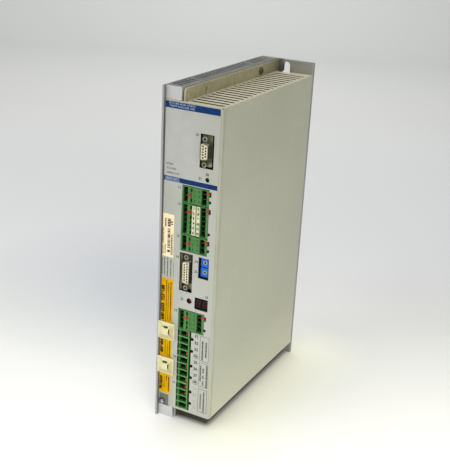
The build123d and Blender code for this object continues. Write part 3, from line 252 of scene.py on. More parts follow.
finishes = {
    # folded steel sheet: satin, rubbed paler where hands take it, brown dust on top, painted light from the
    # floor low down, painted shade inside and on the vents' cut edges
    "coverCoat": powderCoat("Powder coat, pebble grey", dict(
        dark="#999a87", light="#a1a28f", rubbed="#b0b2a1", patch=70, rub=(9, 40, 16), rubAmount=0.35,
        grime=(5, 5, 42), grimy="#8e8f7a", grimeAmount=0.22, rough=0.47, fleck="#6f6e5a",
        dust=("#c2bda7", "#8f8565"), dustSize=(26, 2.2, 6),
        zones=((zone(up=(None, 40)), "#b3b39e", 38),
               (zone((None, 64.1), up=(14.1, 346.85)), "#2a2418", 0.05)))),
    # the same coat in a second tone on the front panel, with painted shade on its inside and on the cut edges
    # of its openings
    "panelCoat": powderCoat("Powder coat, oyster", dict(
        dark="#92937f", light="#9c9d8a", rubbed="#afb09c", patch=40, rub=(6, 6, 14), rubAmount=0.4,
        grime=(4, 4, 20), grimy="#94947e", grimeAmount=0.25, rough=0.45,
        dust=("#b4af9b", "#a29c84"), dustSize=(14, 3, 3),
        zones=((zone((None, 62.9), (0.3, None), (15.05, 345.55)), "#22221c", 0.05),))),
    # printed film: flat light grey, a little darker and yellower to the left, to the right and below
    "foilFilm": printedFilm("Polyester front film, light grey", dict(
        dark="#a3a49f", light="#abaca6", dust=14, rough=0.46,
        zones=((zone(up=(None, 80)), "#a7a79b", 70), (zone((46, None)), "#a3a49a", 18),
               (zone((None, 26), up=(None, 265)), "#9fa096", 14)))),
    # pressed and etched: pale, dull metal with lines along the profile, darker on its sawn end and low on the
    # front web, with painted shade on the lip's inner face by the panel and painted shade, nearly black,
    # between the fins
    "extrusion": bareMetal("Extruded aluminium, etched", dict(
        light="#c1c1c2", dark="#bcbcbb", streaked="#aaaaaa", streak=(1.2, 1.2, 60), streakAmount=0.3,
        depth=0.012, cloud=40, rough=0.5, metal=0.3, facing={"Z": ("#72746f", "#595b56")},
        zones=((zone((2.05, 15.8), (2.2, 4.0), (12.7, 29.0)), "#6d6e64", 0.05),
               (zone((1.9, 2.3), (-2.3, 1.6)), "#717068", 0.05), (zone(deep=(None, -1.95)), "#9b9b9b", 0.05),
               (zone((1.9, 14.6), (12.7, 197.1), (None, 359.4)), "#2f302c", 0.4)))),
    # rolled plate: even grey with faint rolling lines, with a painted shadow of the flange beside the keyhole
    # and painted shade on the keyhole's walls
    "plateSteel": bareMetal("Passivated plate steel", dict(
        light="#888981", dark="#7f8078", streaked="#94958c", streak=(30, 30, 2), streakAmount=0.3,
        depth=0.008, cloud=30, rough=0.52, metal=0.35,
        zones=((zone((22, 28.4), up=(345, None)), "#5f5f57", 1.2),
               (zone((24.3, 40.7), (205.3, 210.1), (332, 358.2)), "#33332c", 0.05)))),
    # zinc with a yellow passivation: blotchy straw to olive, duller at the back, greyer on the lower flange,
    # with painted shade on its side under the housing
    "chromateSheet": bareMetal("Yellow chromated sheet steel", dict(
        light="#a8a27f", dark="#8e8865", streaked="#b4ae8e", streak=(10, 45, 6), streakAmount=0.45,
        depth=0.006, cloud=5, rough=0.44, metal=0.3,
        zones=((zone(deep=(178, None)), "#7f7b5c", 22), (zone(up=(None, 13.7)), "#8d8b80", 0.05),
               (zone((22.0, None), (2.3, None), (None, 13.7)), "#45433a", 0.05)))),
    # filled polyester: even green, half dull, with painted shade, nearly black, deep in the cells
    "signalGreen": mouldedPlastic("PBT moulding, signal green", dict(
        dark="#3b6c35", light="#45773d", cloud=5, rough=0.42, grain=0.4, depth=0.012,
        pocket=(-0.1, 3.2, "#0c1c0a"), lit=0.5, sheen=0.25)),
    # the same plastic in a yellower green, with painted shade deep in the cells, on the stepped right wall
    # and in the notches
    "powerGreen": mouldedPlastic("PBT moulding, leaf green", dict(
        dark="#488240", light="#538f49", cloud=5, rough=0.42, grain=0.4, depth=0.012,
        pocket=(0.0, 4.2, "#0a1d09"), lit=0.16, sheen=0.25,
        zones=((zone((38.0, None)), "#2d4a28", 0.2),) + notchShadeZones)),
    # nylon: deep signal red, half dull
    "redCoding": mouldedPlastic("Polyamide coding tab, red", dict(
        dark="#981c18", light="#a8241e", rough=0.42, sheen=0.25)),
    # extruded strip: dull ivory
    "markerStrip": mouldedPlastic("Marker strip, ivory PVC", dict(
        dark="#bbb897", light="#c7c4a5", rough=0.5)),
    # moulded insulators: warm ivory, with painted shade, black, in the contact holes
    "ivoryNine": mouldedPlastic("PBT insulator, ivory", dict(
        dark="#c8c0a0", light="#d6ceb0", rough=0.45, pocket=(-3.08, -2.9, "#14100a"))),
    "ivoryFifteen": mouldedPlastic("PBT insulator, ivory, aged", dict(
        dark="#c8bf9c", light="#d5ccaa", rough=0.45, pocket=(-0.68, -0.5, "#14100a"))),
    # moulded: strong clear blue, half dull, with painted shade in the rotor's seat
    "blueSwitch": mouldedPlastic("Polyester switch body, blue", dict(
        dark="#0d58b2", light="#1362be", rough=0.4, pocket=(3.3, 4.0, "#0c1c40"), sheen=0.3)),
    # moulded: plain black that catches little light
    "blackPlastic": mouldedPlastic("Polyamide, black", dict(dark="#0c0c0c", light="#151514", rough=0.5)),
    # smoked resin: black with hardly any shine
    "displayFilter": mouldedPlastic("Display resin, smoked", dict(
        dark="#080707", light="#0d0a0b", rough=0.35, sheen=0.1)),
    # unlit bars behind the resin: dull wine red
    "unlitSegment": mouldedPlastic("Display segment, unlit", dict(
        dark="#431a1e", light="#501f23", rough=0.5, sheen=0.1)),
    # cast epoxy: dark green with a sharp highlight
    "greenLens": mouldedPlastic("Light lens, green epoxy", dict(dark="#1a5231", light="#22663e", rough=0.2)),
    # moulded: dark red, half dull
    "redButton": mouldedPlastic("Push button, red", dict(
        dark="#6a161b", light="#7a1e23", rough=0.4, sheen=0.2)),
    # natural nylon gone yellow: waxy ivory, with painted shade on the sides turned right and down and a
    # painted shadow in the slots
    "ivoryNylon": mouldedPlastic("Nylon moulding, ivory", dict(
        dark="#c5c192", light="#cec99b", cloud=7, rough=0.48, grain=0.5, depth=0.015,
        turned=(("X", 0.03, 0.10, "#b1a877"), ("-Z", 0.03, 0.10, "#b0a87e")), zones=tieShadowZones)),
    # foam tape: open pores and no shine
    "foamPad": mouldedPlastic("Polyethylene foam, white", dict(
        dark="#b9b6a6", light="#c8c5b6", rough=0.8, grain=0.6, depth=0.08)),
    # plated fasteners: bright grey with small clouds
    "plating": bareMetal("Bright zinc plating", dict(
        light="#a4a6a2", dark="#8b8d88", streaked="#b9bab5", streak=2, streakAmount=0.4,
        depth=0.005, cloud=3, rough=0.3, metal=0.85)),
    # plated and handled: warm grey with dark clouds
    "jackPlating": bareMetal("Zinc plating, dulled", dict(
        light="#a19e88", dark="#6b6857", streaked="#bcb9a4", streak=2, streakAmount=0.4,
        depth=0.005, cloud=3, rough=0.28, metal=0.85)),
    # blue passivation: cold grey with hard highlights
    "screwPlating": bareMetal("Blue chromated zinc", dict(
        light="#a9aeb5", dark="#5f646b", streaked="#d9dde2", streak=1, streakAmount=0.5,
        depth=0.004, cloud=1.6, rough=0.2, metal=0.9)),
    # old plating: brown-grey stains
    "oxidised": bareMetal("Zinc plating, stained dark", dict(
        light="#5f5b4b", dark="#3c3a30", streaked="#8a8776", streak=1.5, streakAmount=0.4,
        depth=0.005, cloud=2, rough=0.35, metal=0.8)),
    # drawn and tinned: warm grey clouds with painted reflections, bright above, pale below and at the rims,
    # dark on the sides turned right, painted shade on the recessed flanges, and a painted highlight beside
    # three of the jackscrews
    "shellPlating": bareMetal("Tin plated shell steel", dict(
        light="#7a7963", dark="#525140", streaked="#b3b29d", streak=(1.5, 3, 6), streakAmount=0.5,
        depth=0.004, cloud=5, rough=0.32, metal=0.55,
        facing={"X": ("#4a4b3a", "#5a5b47"), "Z": ("#e6e6e2", "#c4c5c0"), "-Z": ("#a8a794", "#8d8c7a")},
        zones=((zone(deep=(None, -3.25), up=(280, None)), "#a9a794", 0.05),
               (zone(deep=(None, -0.85), up=(None, 280)), "#a9a794", 0.05),
               (zone(deep=(1.9, None), up=(280, None)), "#4a4936", 0.05),
               (zone(deep=(4.3, None), up=(None, 280)), "#3f3f31", 0.05),
               (zone((48.5, 57), (1.9, None), (281, 292)), "#a09f8c", 1.2),
               (zone((48.5, 57), (1.9, None), (314, 325)), "#84836f", 1.2),
               (zone((33.5, 38), (4.3, None), (152, 161)), "#a09f8a", 0.8)))),
    # drawn pin: pale brassy grey, streaked along its length
    "tinPin": bareMetal("Tinned brass pin", dict(
        light="#8f8c7e", dark="#7a776a", streaked="#a5a294", streak=(0.5, 3, 0.5), streakAmount=0.4,
        depth=0.003, cloud=2, rough=0.32, metal=0.9)),
    # thin gold deep in its hole: painted shade, nearly black, with brown streaks as a painted glint
    "goldContact": bareMetal("Gold flashed contact", dict(
        light="#31271a", dark="#241c12", streaked="#3c301e", streak=(0.5, 2, 0.5), streakAmount=0.3,
        depth=0.002, cloud=2, rough=0.4, metal=0.8)),
    # turned: warm grey, with painted shade in the slot
    "rotorBrass": bareMetal("Nickel silver rotor", dict(
        light="#a9a28c", dark="#8f8872", streaked="#bab49f", streak=0.6, streakAmount=0.4,
        depth=0.004, cloud=1.5, rough=0.4, metal=0.3, zones=((zone(deep=(3.05, None)), "#3c342a", 0.05),))),
    # behind the vent slots: dark, dull shapes
    "boardMask": mouldedPlastic("Circuit board, dark solder mask", dict(
        dark="#0b150e", light="#101d13", rough=0.5)),
    "moduleCase": mouldedPlastic("Epoxy module case, grey", dict(
        dark="#3b3b3d", light="#474749", rough=0.55)),
    "canSleeve": mouldedPlastic("Capacitor sleeve, black PVC", dict(
        dark="#141416", light="#1e1e21", rough=0.35)),
    "ferrite": mouldedPlastic("Ferrite core", dict(dark="#1d1b1b", light="#2a2727", rough=0.6)),
    "windingTape": mouldedPlastic("Polyester tape, yellow", dict(dark="#a0842a", light="#b09236", rough=0.4)),
    "cement": mouldedPlastic("Cement resistor body", dict(dark="#a9a496", light="#b8b3a6", rough=0.8)),
}

finishOf = {
    "extrusion": ["heat_sink"],
    "plateSteel": ["back_plate"],
    "chromateSheet": ["chassis"],
    "coverCoat": ["housing_cover"],
    "panelCoat": ["front_panel"],
    "foilFilm": ["front_foil"],
    "signalGreen": ["signal_header_top", "signal_header_middle", "signal_header_lower",
                    "signal_header_fourway"],
    "powerGreen": ["power_header_1", "power_header_2", "power_header_3"],
    "redCoding": ["key_tabs"],
    "markerStrip": ["marker_strips"],
    "ivoryNine": ["sub_d_9_insulator"],
    "ivoryFifteen": ["sub_d_15_insulator"],
    "shellPlating": ["sub_d_9_shell", "sub_d_15_shell"],
    "goldContact": ["sub_d_9_contacts", "sub_d_15_contacts"],
    "tinPin": ["signal_pins", "power_pins"],
    "blueSwitch": ["code_switch_upper", "code_switch_lower"],
    "rotorBrass": ["code_rotor_upper", "code_rotor_lower"],
    "displayFilter": ["display_module"],
    "unlitSegment": ["display_segments"],
    "greenLens": ["status_led"],
    "redButton": ["reset_button"],
    "blackPlastic": ["led_holder", "reset_switch", "board_link", "control_chips", "inrush_relay"],
    "ivoryNylon": ["tie_mounts"],
    "foamPad": ["tie_pads"],
    "jackPlating": ["jackscrews"],
    "screwPlating": ["ground_screw"],
    "oxidised": ["ground_washer", "chassis_screws"],
    "plating": ["plate_screws", "chassis_bushes", "cover_screws", "panel_studs", "board_screws",
                "power_spacers", "control_spacers"],
    "boardMask": ["front_board", "terminal_board", "power_board", "control_board"],
    "moduleCase": ["power_module", "rectifier_module"],
    "canSleeve": ["dc_link_capacitors"],
    "ferrite": ["filter_choke", "supply_transformer"],
    "windingTape": ["transformer_winding"],
    "cement": ["bleeder_resistor"],
}
for finish, nodes in finishOf.items():
    for node in nodes:
        shown = bpy.data.objects[node]
        shown.data.materials.clear()
        shown.data.materials.append(finishes[finish])
print("materials on the packed nodes")


def fillMesh(name, points, faces, material):   # points n by 3 in metres, faces m by 3 or m by 4 corners
    mesh = bpy.data.meshes.new(name)
    points = np.asarray(points, np.float32)
    faces = np.asarray(faces, np.int32)
    mesh.vertices.add(len(points))
    mesh.vertices.foreach_set("co", points.ravel())
    mesh.loops.add(faces.size)
    mesh.loops.foreach_set("vertex_index", faces.ravel())
    mesh.polygons.add(len(faces))
    mesh.polygons.foreach_set("loop_start", np.arange(0, faces.size, faces.shape[1], dtype=np.int32))
    mesh.update(calc_edges=True)
    mesh.validate()
    mesh.materials.append(material)
    made = bpy.data.objects.new(name, mesh)
    bpy.context.scene.collection.objects.link(made)
    return made


def onFront(across, up, proud):           # mm from the heat sink's side, above the ground, ahead of the foil
    across, up, proud = np.broadcast_arrays(np.asarray(across, float), up, proud)
    return np.stack([leftEdge + across * mm, foilFace - proud * mm, up * mm], -1)


def gridFaces(rows, columns):             # quads of a grid, counter-clockwise where rows go up, columns right
    index = np.arange(rows * columns).reshape(rows, columns)
    corner = [index[:-1, :-1], index[:-1, 1:], index[1:, 1:], index[1:, :-1]]
    return np.stack([part.ravel() for part in corner], -1)


def settle(piece):                  # printed and stuck-on pieces stay with the drive
    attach(piece, "drive")


# Label on a grid: its height is the thickness times a smooth step, three times the square of e less twice
# its cube, where e is the distance to the nearest edge over the width of the rim, at most 1
def labelSheet(name, look, material):
    left, low, across, tall = look["place"]
    rim = look["rim"]
    inset = rim * np.array([0, 0.5, 1])
    u, v = (np.sort(np.concatenate([inset, np.linspace(0, size, steps)[1:-1], size - inset]))
            for size, steps in zip((across, tall), look["steps"]))
    uu, vv = np.meshgrid(u, v)
    edge = np.minimum(np.minimum(uu, across - uu), np.minimum(vv, tall - vv)) / rim
    edge = np.clip(edge, 0, 1)
    proud = look["thick"] * edge * edge * (3 - 2 * edge)
    points = onFront(left + uu, low + vv, proud).reshape(-1, 3)
    settle(fillMesh(name, points, gridFaces(*uu.shape), material))


# Print: every mark is a flat quad, its middle plus or minus half its size, at the look's height
def printMarks(name, look, material):     # marks: rows of across, up, width, height
    marks = np.asarray(look["marks"], float)
    corner = np.array([[-0.5, -0.5], [0.5, -0.5], [0.5, 0.5], [-0.5, 0.5]])
    across = marks[:, None, 0] + corner[None, :, 0] * marks[:, None, 2]
    up = marks[:, None, 1] + corner[None, :, 1] * marks[:, None, 3]
    faces = np.arange(len(marks) * 4).reshape(-1, 4)
    settle(fillMesh(name, onFront(across, up, look["proud"]).reshape(-1, 3), faces, material))


# How uneven the marks are: least and most, as a share of their mean
uneven = dict(mark=(0.45, 1.55), gap=(0.6, 1.6), bar=(0.5, 1.6))


# Column of fine print, as plain dashes: each starts at the running sum of the uneven lengths and gaps before
# it. The numbers are seed, across, start, stop, then the mean length, the mean gap and the thickness
def dashes(seed, across, start, stop, mark, gap, thick):
    rng = np.random.default_rng(seed)
    count = int(abs(stop - start) / (mark + gap) * 2) + 2
    length = mark * rng.uniform(*uneven["mark"], count)
    space = gap * rng.uniform(*uneven["gap"], count)
    begin = start + np.concatenate([[0], np.cumsum(length + space)[:-1]])
    keep = begin + length < stop
    middle, length = (begin + length / 2)[keep], length[keep]
    return np.stack([np.full_like(middle, across), middle, np.full_like(middle, thick), length], -1)


def finePrint(*rows):                     # all columns of a print as one array of marks
    return np.concatenate([dashes(*row) for row in rows])


# Plain figures from the built-in typeface, as flat meshes: each is the outline of its text, moved to its
# place, or turned a quarter first, so that x, y become -y, x
def figures(name, look, material):          # marks: text, across, up, height in mm
    capShare = 0.72                       # height of a figure as a share of the type size
    points, faces, base = [], [], 0
    for text, across, up, tall in look["marks"]:
        curve = bpy.data.curves.new(name + "Text", "FONT")
        curve.body = text
        curve.size = tall / capShare
        curve.align_x = "CENTER"
        curve.align_y = "CENTER"
        curve.resolution_u = 3
        curve.offset = look["bold"]
        holder = bpy.data.objects.new(name + "Text", curve)
        flat = bpy.data.meshes.new_from_object(holder)
        spots = np.empty(len(flat.vertices) * 3)
        flat.vertices.foreach_get("co", spots)
        spots = spots.reshape(-1, 3)
        if look.get("turned"):
            spots = spots[:, [1, 0, 2]] * (-1, 1, 1)
        flat.calc_loop_triangles()
        corners = np.empty(len(flat.loop_triangles) * 3, np.int32)
        flat.loop_triangles.foreach_get("vertices", corners)
        points.append(onFront(across + spots[:, 0], up + spots[:, 1], look["proud"]))
        faces.append(corners.reshape(-1, 3) + base)
        base += len(spots)
        bpy.data.objects.remove(holder)
        bpy.data.curves.remove(curve)
        bpy.data.meshes.remove(flat)
    settle(fillMesh(name, np.concatenate(points), np.concatenate(faces), material))


# Lines of made-up figures, from rows of seed, words, across, up and height: a word is that many seeded digits
def madeUp(*rows):
    marks = []
    for seed, words, across, up, tall in rows:
        rng = np.random.default_rng(seed)
        text = " ".join("".join(str(digit) for digit in rng.integers(0, 10, count)) for count in words)
        marks.append((text, across, up, tall))
    return marks


# Frame: four thin bars round a rectangle
def outline(left, low, right, high, line):
    wide, tall = right - left + line, high - low
    middle, centre = (left + right) / 2, (low + high) / 2
    return [(middle, low, wide, line), (middle, high, wide, line), (left, centre, line, tall),
            (right, centre, line, tall)]


# Rings: between two circles, each point is the centre plus the radius times (cos t, sin t); the last quad
# ends where the first begins
def rings(name, look, places, material):
    steps = 24
    here = np.arange(steps)
    turn = 2 * math.pi * here / steps
    reach = look["radius"] + np.array([[-0.5], [0.5]]) * look["line"]
    after = (here + 1) % steps
    quads = np.stack([here, here + steps, after + steps, after], -1)
    points = [onFront(across + reach * np.cos(turn), up + reach * np.sin(turn), look["proud"]).reshape(-1, 3)
              for across, up in places]
    faces = [quads + 2 * steps * index for index in range(len(points))]
    settle(fillMesh(name, np.concatenate(points), np.concatenate(faces), material))


inks = {
    # screen inks: flat colour with a little dust, matt on the bands
    "bandInk": printedFilm("Screen ink, deep blue", dict(
        dark="#17305b", light="#1c3965", dust=8, rough=0.5, sheen=0.0)),
    "bandPale": printedFilm("Screen ink, pale blue", dict(
        dark="#97a4b8", light="#a6b1c1", dust=5, rough=0.42)),
    "greyInk": printedFilm("Screen ink, grey", dict(dark="#30322f", light="#3b3d39", dust=4, rough=0.45)),
    "wornInk": printedFilm("Screen ink, worn thin", dict(
        dark="#878a80", light="#92958a", dust=4, rough=0.45)),
    "blackInk": printedFilm("Screen ink, black", dict(
        dark="#1e1f1e", light="#2a2b29", dust=4, rough=0.45, sheen=0.2)),
    # stuck-on labels and their inks: warm and even, the yellow one without shine
    "paperCream": printedFilm("Label film, cream", dict(
        dark="#ddcda3", light="#e8d8b0", dust=11, rough=0.5)),
    "vinylYellow": printedFilm("Label vinyl, yellow", dict(
        dark="#bb8c06", light="#cf9f0a", dust=9, rough=0.45, sheen=0.0)),
    "labelInk": printedFilm("Label ink, dark", dict(
        dark="#22211f", light="#2f2d2a", dust=4, rough=0.5, sheen=0.2)),
    "yellowInk": printedFilm("Label ink on yellow", dict(
        dark="#1d1507", light="#2a1f0b", dust=4, rough=0.5, sheen=0.1)),
    # a moulding's stamped figures, and painted shade on the lead-in round the contact holes: darker than the
    # plastic and dull
    "stampedInk": mouldedPlastic("Hot stamped figure, dark green", dict(
        dark="#12341a", light="#183c20", rough=0.5)),
    "leadInShade": mouldedPlastic("Lead-in, painted shade", dict(dark="#1d1811", light="#272017", rough=0.6)),
}

bands = dict(left=2.85, right=62.3, upper=(339.2, 345.6), lower=(266.9, 271.8), steps=(40, 5),
             wave=0.004, length=7.0)


# Band on a grid: ahead of the film by the ink and a faint waviness, the wave times sin(across / length)
def bandStrip(name, low, high):
    across, up = bands["steps"]
    u, v = np.meshgrid(np.linspace(bands["left"], bands["right"], across), np.linspace(low, high, up))
    proud = inkRise + bands["wave"] * np.sin(u / bands["length"])
    points = onFront(u, v, proud).reshape(-1, 3)
    settle(fillMesh(name, points, gridFaces(*u.shape), inks["bandInk"]))


bandStrip("upperBand", *bands["upper"])
bandStrip("lowerBand", *bands["lower"])

bandMarks = dict(proud=2 * inkRise, bold=0.0, marks=madeUp(
    (3, (8, 5, 7), 21.3, 343.9, 2.0), (4, (6, 9, 4), 21.0, 341.2, 2.0), (13, (8,), 12.4, 269.5, 2.9)))
figures("bandMarks", bandMarks, inks["bandPale"])
bandRules = dict(proud=2 * inkRise, marks=[(12.6, 267.6, 17.6, 0.35)])
printMarks("bandRules", bandRules, inks["bandPale"])

titlePrint = dict(proud=inkRise, bold=0.06, marks=madeUp(
    (21, (6,), 9.0, 284.2, 2.0), (22, (2, 5), 11.0, 279.8, 2.0), (23, (10,), 13.0, 275.4, 2.0)))
figures("titlePrint", titlePrint, inks["greyInk"])
notePrint = dict(proud=inkRise, marks=finePrint(
    (31, 3.4, 167.0, 185.2, 1.4, 0.5, 0.8), (32, 5.9, 166.0, 185.4, 1.6, 0.35, 1.1),
    (33, 9.5, 165.0, 185.6, 1.6, 0.4, 1.2), (35, 13.4, 165.6, 185.6, 1.6, 0.4, 1.1),
    (34, 16.7, 166.0, 183.0, 4.0, 0.3, 0.35)))
printMarks("notePrint", notePrint, inks["greyInk"])

connectorNumbers = dict(proud=inkRise, bold=0.12, marks=(
    ("11", 20.6, 262.4, 2.7), ("12", 20.6, 245.4, 2.7), ("13", 20.6, 211.8, 2.7), ("14", 20.6, 189.3, 2.7),
    ("15", 20.6, 130.0, 2.7), ("16", 20.8, 76.6, 2.7), ("17", 20.8, 45.1, 2.7), ("10", 38.2, 317.6, 2.7)))
figures("connectorNumbers", connectorNumbers, inks["greyInk"])
functionNumbers = dict(proud=inkRise, bold=0.12, marks=(
    ("20", 51.0, 280.8, 2.7), ("21", 43.4, 275.6, 2.7), ("22", 27.6, 144.6, 2.5), ("23", 56.0, 153.6, 2.5),
    ("24", 42.6, 189.2, 2.7), ("25", 42.6, 178.4, 2.7)))
figures("functionNumbers", functionNumbers, inks["greyInk"])

# Numbers beside the power headers: two stand in rings and are smaller, the last four are worn
terminals = dict(across=46.4, tall=3.3, tallInRing=2.3, first=31, ringed=(3, 7), firstWorn=39,
                 heights=(107.3, 99.3, 91.8, 84.0, 76.8, 69.3, 61.5, 53.6), worn=(45.4, 37.8, 30.6, 23.2))
terminalNumbers = dict(proud=inkRise, bold=0.2, marks=[
    (str(terminals["first"] + index), terminals["across"], up,
     terminals["tallInRing" if index in terminals["ringed"] else "tall"])
    for index, up in enumerate(terminals["heights"])])
figures("terminalNumbers", terminalNumbers, inks["greyInk"])
faintNumbers = dict(proud=inkRise, bold=0.02, marks=[
    (str(terminals["firstWorn"] + index), terminals["across"], up, terminals["tall"])
    for index, up in enumerate(terminals["worn"])])
figures("faintNumbers", faintNumbers, inks["wornInk"])
terminalRings = dict(proud=inkRise, radius=2.6, line=0.5)
rings("terminalRings", terminalRings, [(terminals["across"], terminals["heights"][index])
                                       for index in terminals["ringed"]], inks["greyInk"])

legend = dict(line=0.42, frames=((50.9, 80.9, 61.2, 109.0), (50.9, 50.6, 61.2, 78.4),
                                 (50.9, 20.0, 61.2, 47.4)))
legendLines = dict(proud=inkRise, marks=np.concatenate(
    [outline(*edges, legend["line"]) for edges in legend["frames"]]))
printMarks("legendLines", legendLines, inks["greyInk"])
legendPrint = dict(proud=inkRise, marks=finePrint(
    (50, 53.9, 81.8, 105.2, 1.5, 0.25, 1.8), (51, 58.1, 86.0, 104.6, 1.5, 0.25, 1.7),
    (55, 52.6, 57.0, 76.2, 1.5, 0.25, 1.6), (56, 55.8, 67.2, 73.4, 1.5, 0.3, 1.6),
    (57, 55.8, 60.6, 65.6, 1.5, 0.3, 1.6), (58, 55.8, 52.4, 58.6, 1.5, 0.3, 1.5),
    (59, 59.9, 51.0, 77.8, 1.5, 0.25, 1.6), (60, 53.9, 24.0, 42.6, 1.5, 0.3, 1.4),
    (61, 57.7, 20.6, 46.2, 1.5, 0.25, 1.6)))
printMarks("legendPrint", legendPrint, inks["greyInk"])
print("print on the foil")


# Bars of a plain scale: each starts at the running sum of the uneven bars and gaps before it. The numbers
# are seed, across, width, low and high end, then the mean thickness and the mean gap
def bars(seed, across, wide, low, high, thick, gap):
    most = 80
    rng = np.random.default_rng(seed)
    bar = thick * rng.uniform(*uneven["bar"], most)
    start = low + np.cumsum(bar + gap * rng.uniform(*uneven["bar"], most)) - bar
    keep = start + bar < high
    middle = (start + bar / 2)[keep]
    return np.stack([np.full_like(middle, across), middle, np.full_like(middle, wide), bar[keep]], -1)


creamLabel = dict(place=(2.75, 187.0, 13.1, 45.6), thick=0.12, rim=0.25, steps=(12, 30))
labelSheet("creamLabel", creamLabel, inks["paperCream"])
creamLabelPrint = dict(proud=creamLabel["thick"] + inkRise, marks=finePrint(
    (70, 6.2, 218.8, 227.8, 1.4, 0.3, 1.5), (71, 3.9, 200.0, 218.4, 1.5, 0.4, 0.9),
    (72, 3.2, 189.0, 199.4, 1.3, 0.4, 0.7), (73, 4.7, 189.6, 199.6, 1.3, 0.4, 0.7),
    (74, 6.3, 190.2, 199.8, 1.3, 0.4, 0.9), (75, 13.4, 189.6, 213.2, 1.5, 0.3, 1.2),
    (76, 14.9, 190.0, 214.0, 1.4, 0.4, 0.6)))
printMarks("creamLabelPrint", creamLabelPrint, inks["labelInk"])
creamBars = dict(proud=creamLabel["thick"] + inkRise, marks=np.concatenate([
    bars(80, 10.3, 3.5, 219.4, 228.4, 1.2, 0.3), bars(81, 10.3, 3.2, 196.0, 218.8, 0.75, 0.6),
    np.array([(10.4, 209.0, 3.0, 2.2), (10.3, 193.2, 3.3, 2.4), (13.2, 224.8, 2.6, 1.4),
              (13.6, 222.4, 2.2, 1.2), (2.95, 210.0, 0.25, 17.0)])]))
printMarks("creamBars", creamBars, inks["labelInk"])

yellowLabel = dict(place=(2.9, 29.3, 14.0, 133.7), thick=0.12, rim=0.25, steps=(12, 30))
labelSheet("yellowLabel", yellowLabel, inks["vinylYellow"])
yellowHeadings = dict(proud=yellowLabel["thick"] + 1.5 * inkRise, bold=0.34, turned=True, marks=madeUp(
    (90, (3, 4), 5.3, 125.0, 3.6), (91, (7,), 5.3, 145.6, 3.6), (95, (7,), 5.3, 84.4, 3.2),
    (100, (7,), 5.3, 40.4, 3.4)))
figures("yellowHeadings", yellowHeadings, inks["yellowInk"])
yellowLabelPrint = dict(proud=yellowLabel["thick"] + inkRise, marks=finePrint(
    (92, 9.1, 114.5, 162.0, 1.8, 0.3, 0.9), (93, 11.5, 116.0, 160.0, 1.8, 0.4, 0.8),
    (94, 14.3, 116.0, 160.4, 1.8, 0.3, 1.2), (97, 9.3, 76.0, 94.0, 1.8, 0.5, 0.8),
    (98, 12.0, 75.0, 92.0, 1.8, 0.4, 0.8), (99, 14.6, 74.6, 93.0, 1.8, 0.3, 1.2),
    (101, 9.0, 36.0, 51.0, 1.8, 0.8, 0.8), (102, 11.9, 44.0, 50.6, 1.8, 0.3, 1.2),
    (103, 14.6, 32.0, 51.0, 1.8, 0.3, 1.4)))
printMarks("yellowLabelPrint", yellowLabelPrint, inks["yellowInk"])
print("labels")


def aheadOfFoil(node):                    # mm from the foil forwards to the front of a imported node
    return (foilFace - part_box(node)[0].y) / mm


# Pole numbers of the signal headers: left column first, each from the top; the middle header has strips
poleNumbers = dict(across=(38.1, 43.0), tall=2.2, trim=1.2, pitch=5.08, stripBold=0.24, ledgeBold=0.2,
                   poles={"signal_header_top": 3, "signal_header_middle": 6, "signal_header_lower": 3,
                          "signal_header_fourway": 4})
stripMarks, ledgeMarks = [], []
for node, poles in poleNumbers["poles"].items():
    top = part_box(node)[1].z / mm - poleNumbers["trim"]
    marks = stripMarks if node == "signal_header_middle" else ledgeMarks
    for column, across in enumerate(poleNumbers["across"]):
        for pole in range(poles):
            marks.append((str(column * poles + pole + 1), across, top - poleNumbers["pitch"] * (pole + 0.5),
                          poleNumbers["tall"]))
stripNumbers = dict(proud=aheadOfFoil("marker_strips") + inkRise, bold=poleNumbers["stripBold"],
                    marks=stripMarks)
figures("stripNumbers", stripNumbers, inks["blackInk"])
ledgeNumbers = dict(proud=aheadOfFoil("signal_header_top") + inkRise, bold=poleNumbers["ledgeBold"],
                    marks=ledgeMarks)
figures("ledgeNumbers", ledgeNumbers, inks["stampedInk"])

# painted shade round the contact holes of the sockets, as dark rings on the insulators
holeShadeRims = dict(pitch=2.77, contact=0.5, radius=0.9, line=0.26, rise=0.01)


# Contact holes of a socket: two rows, each with as many as its length over the pitch, plus one
def holePlaces(node):
    spots = np.array([corner.co for corner in bpy.data.objects[node].data.vertices])
    across, up = (spots[:, 0] - leftEdge) / mm, spots[:, 2] / mm
    middle = (across.min() + across.max()) / 2
    places = []
    for row in (across < middle, across > middle):
        low, high = up[row].min() + holeShadeRims["contact"], up[row].max() - holeShadeRims["contact"]
        column = (across[row].min() + across[row].max()) / 2
        count = round((high - low) / holeShadeRims["pitch"]) + 1
        places += [(column, at) for at in np.linspace(low, high, count)]
    return places


for poles in ("9", "15"):
    rim = holeShadeRims | dict(proud=aheadOfFoil("sub_d_" + poles + "_insulator") + holeShadeRims["rise"])
    rings("holeShadeRims" + poles, rim, holePlaces("sub_d_" + poles + "_contacts"), inks["leadInShade"])
print("figures and rims on the connectors")


# Tones run back from the camera: distance in m and colour, painted lamp fall-off. The shade is a painted soft
# shadow to the left, the zones are a painted pool of warm light beside the drive and a painted contact shadow
# under it
floorLook = dict(half=3.6, near=-1.8, far=2.2, rise=2.0, bend=0.6, bendSteps=23, columns=9, turn=27.6,
                 rough=0.9, sheen=0.1, shade="#cdd0d5", shadeAt=(-0.245, 0.17, 0.0), shadeSpan=(0.04, 0.26),
                 shadeAmount=0.8,
                 zones=((zone((40, 120), (-30, 260)), "#fffff0", 34),
                        (zone((10, 58.5), (8.5, 214)), "#6a6a61", 3.8)),
                 tones=((-0.16, "#ffffff"), (-0.06, "#fbfbf8"), (0.05, "#f2f3ef"), (0.18, "#e4e5e2"),
                        (0.30, "#dedfdf"), (0.47, "#dfe0e1"), (0.62, "#dedfdf"), (0.9, "#d9dad9"),
                        (1.35, "#d4d4d2"), (2.4, "#d0d1ce")))
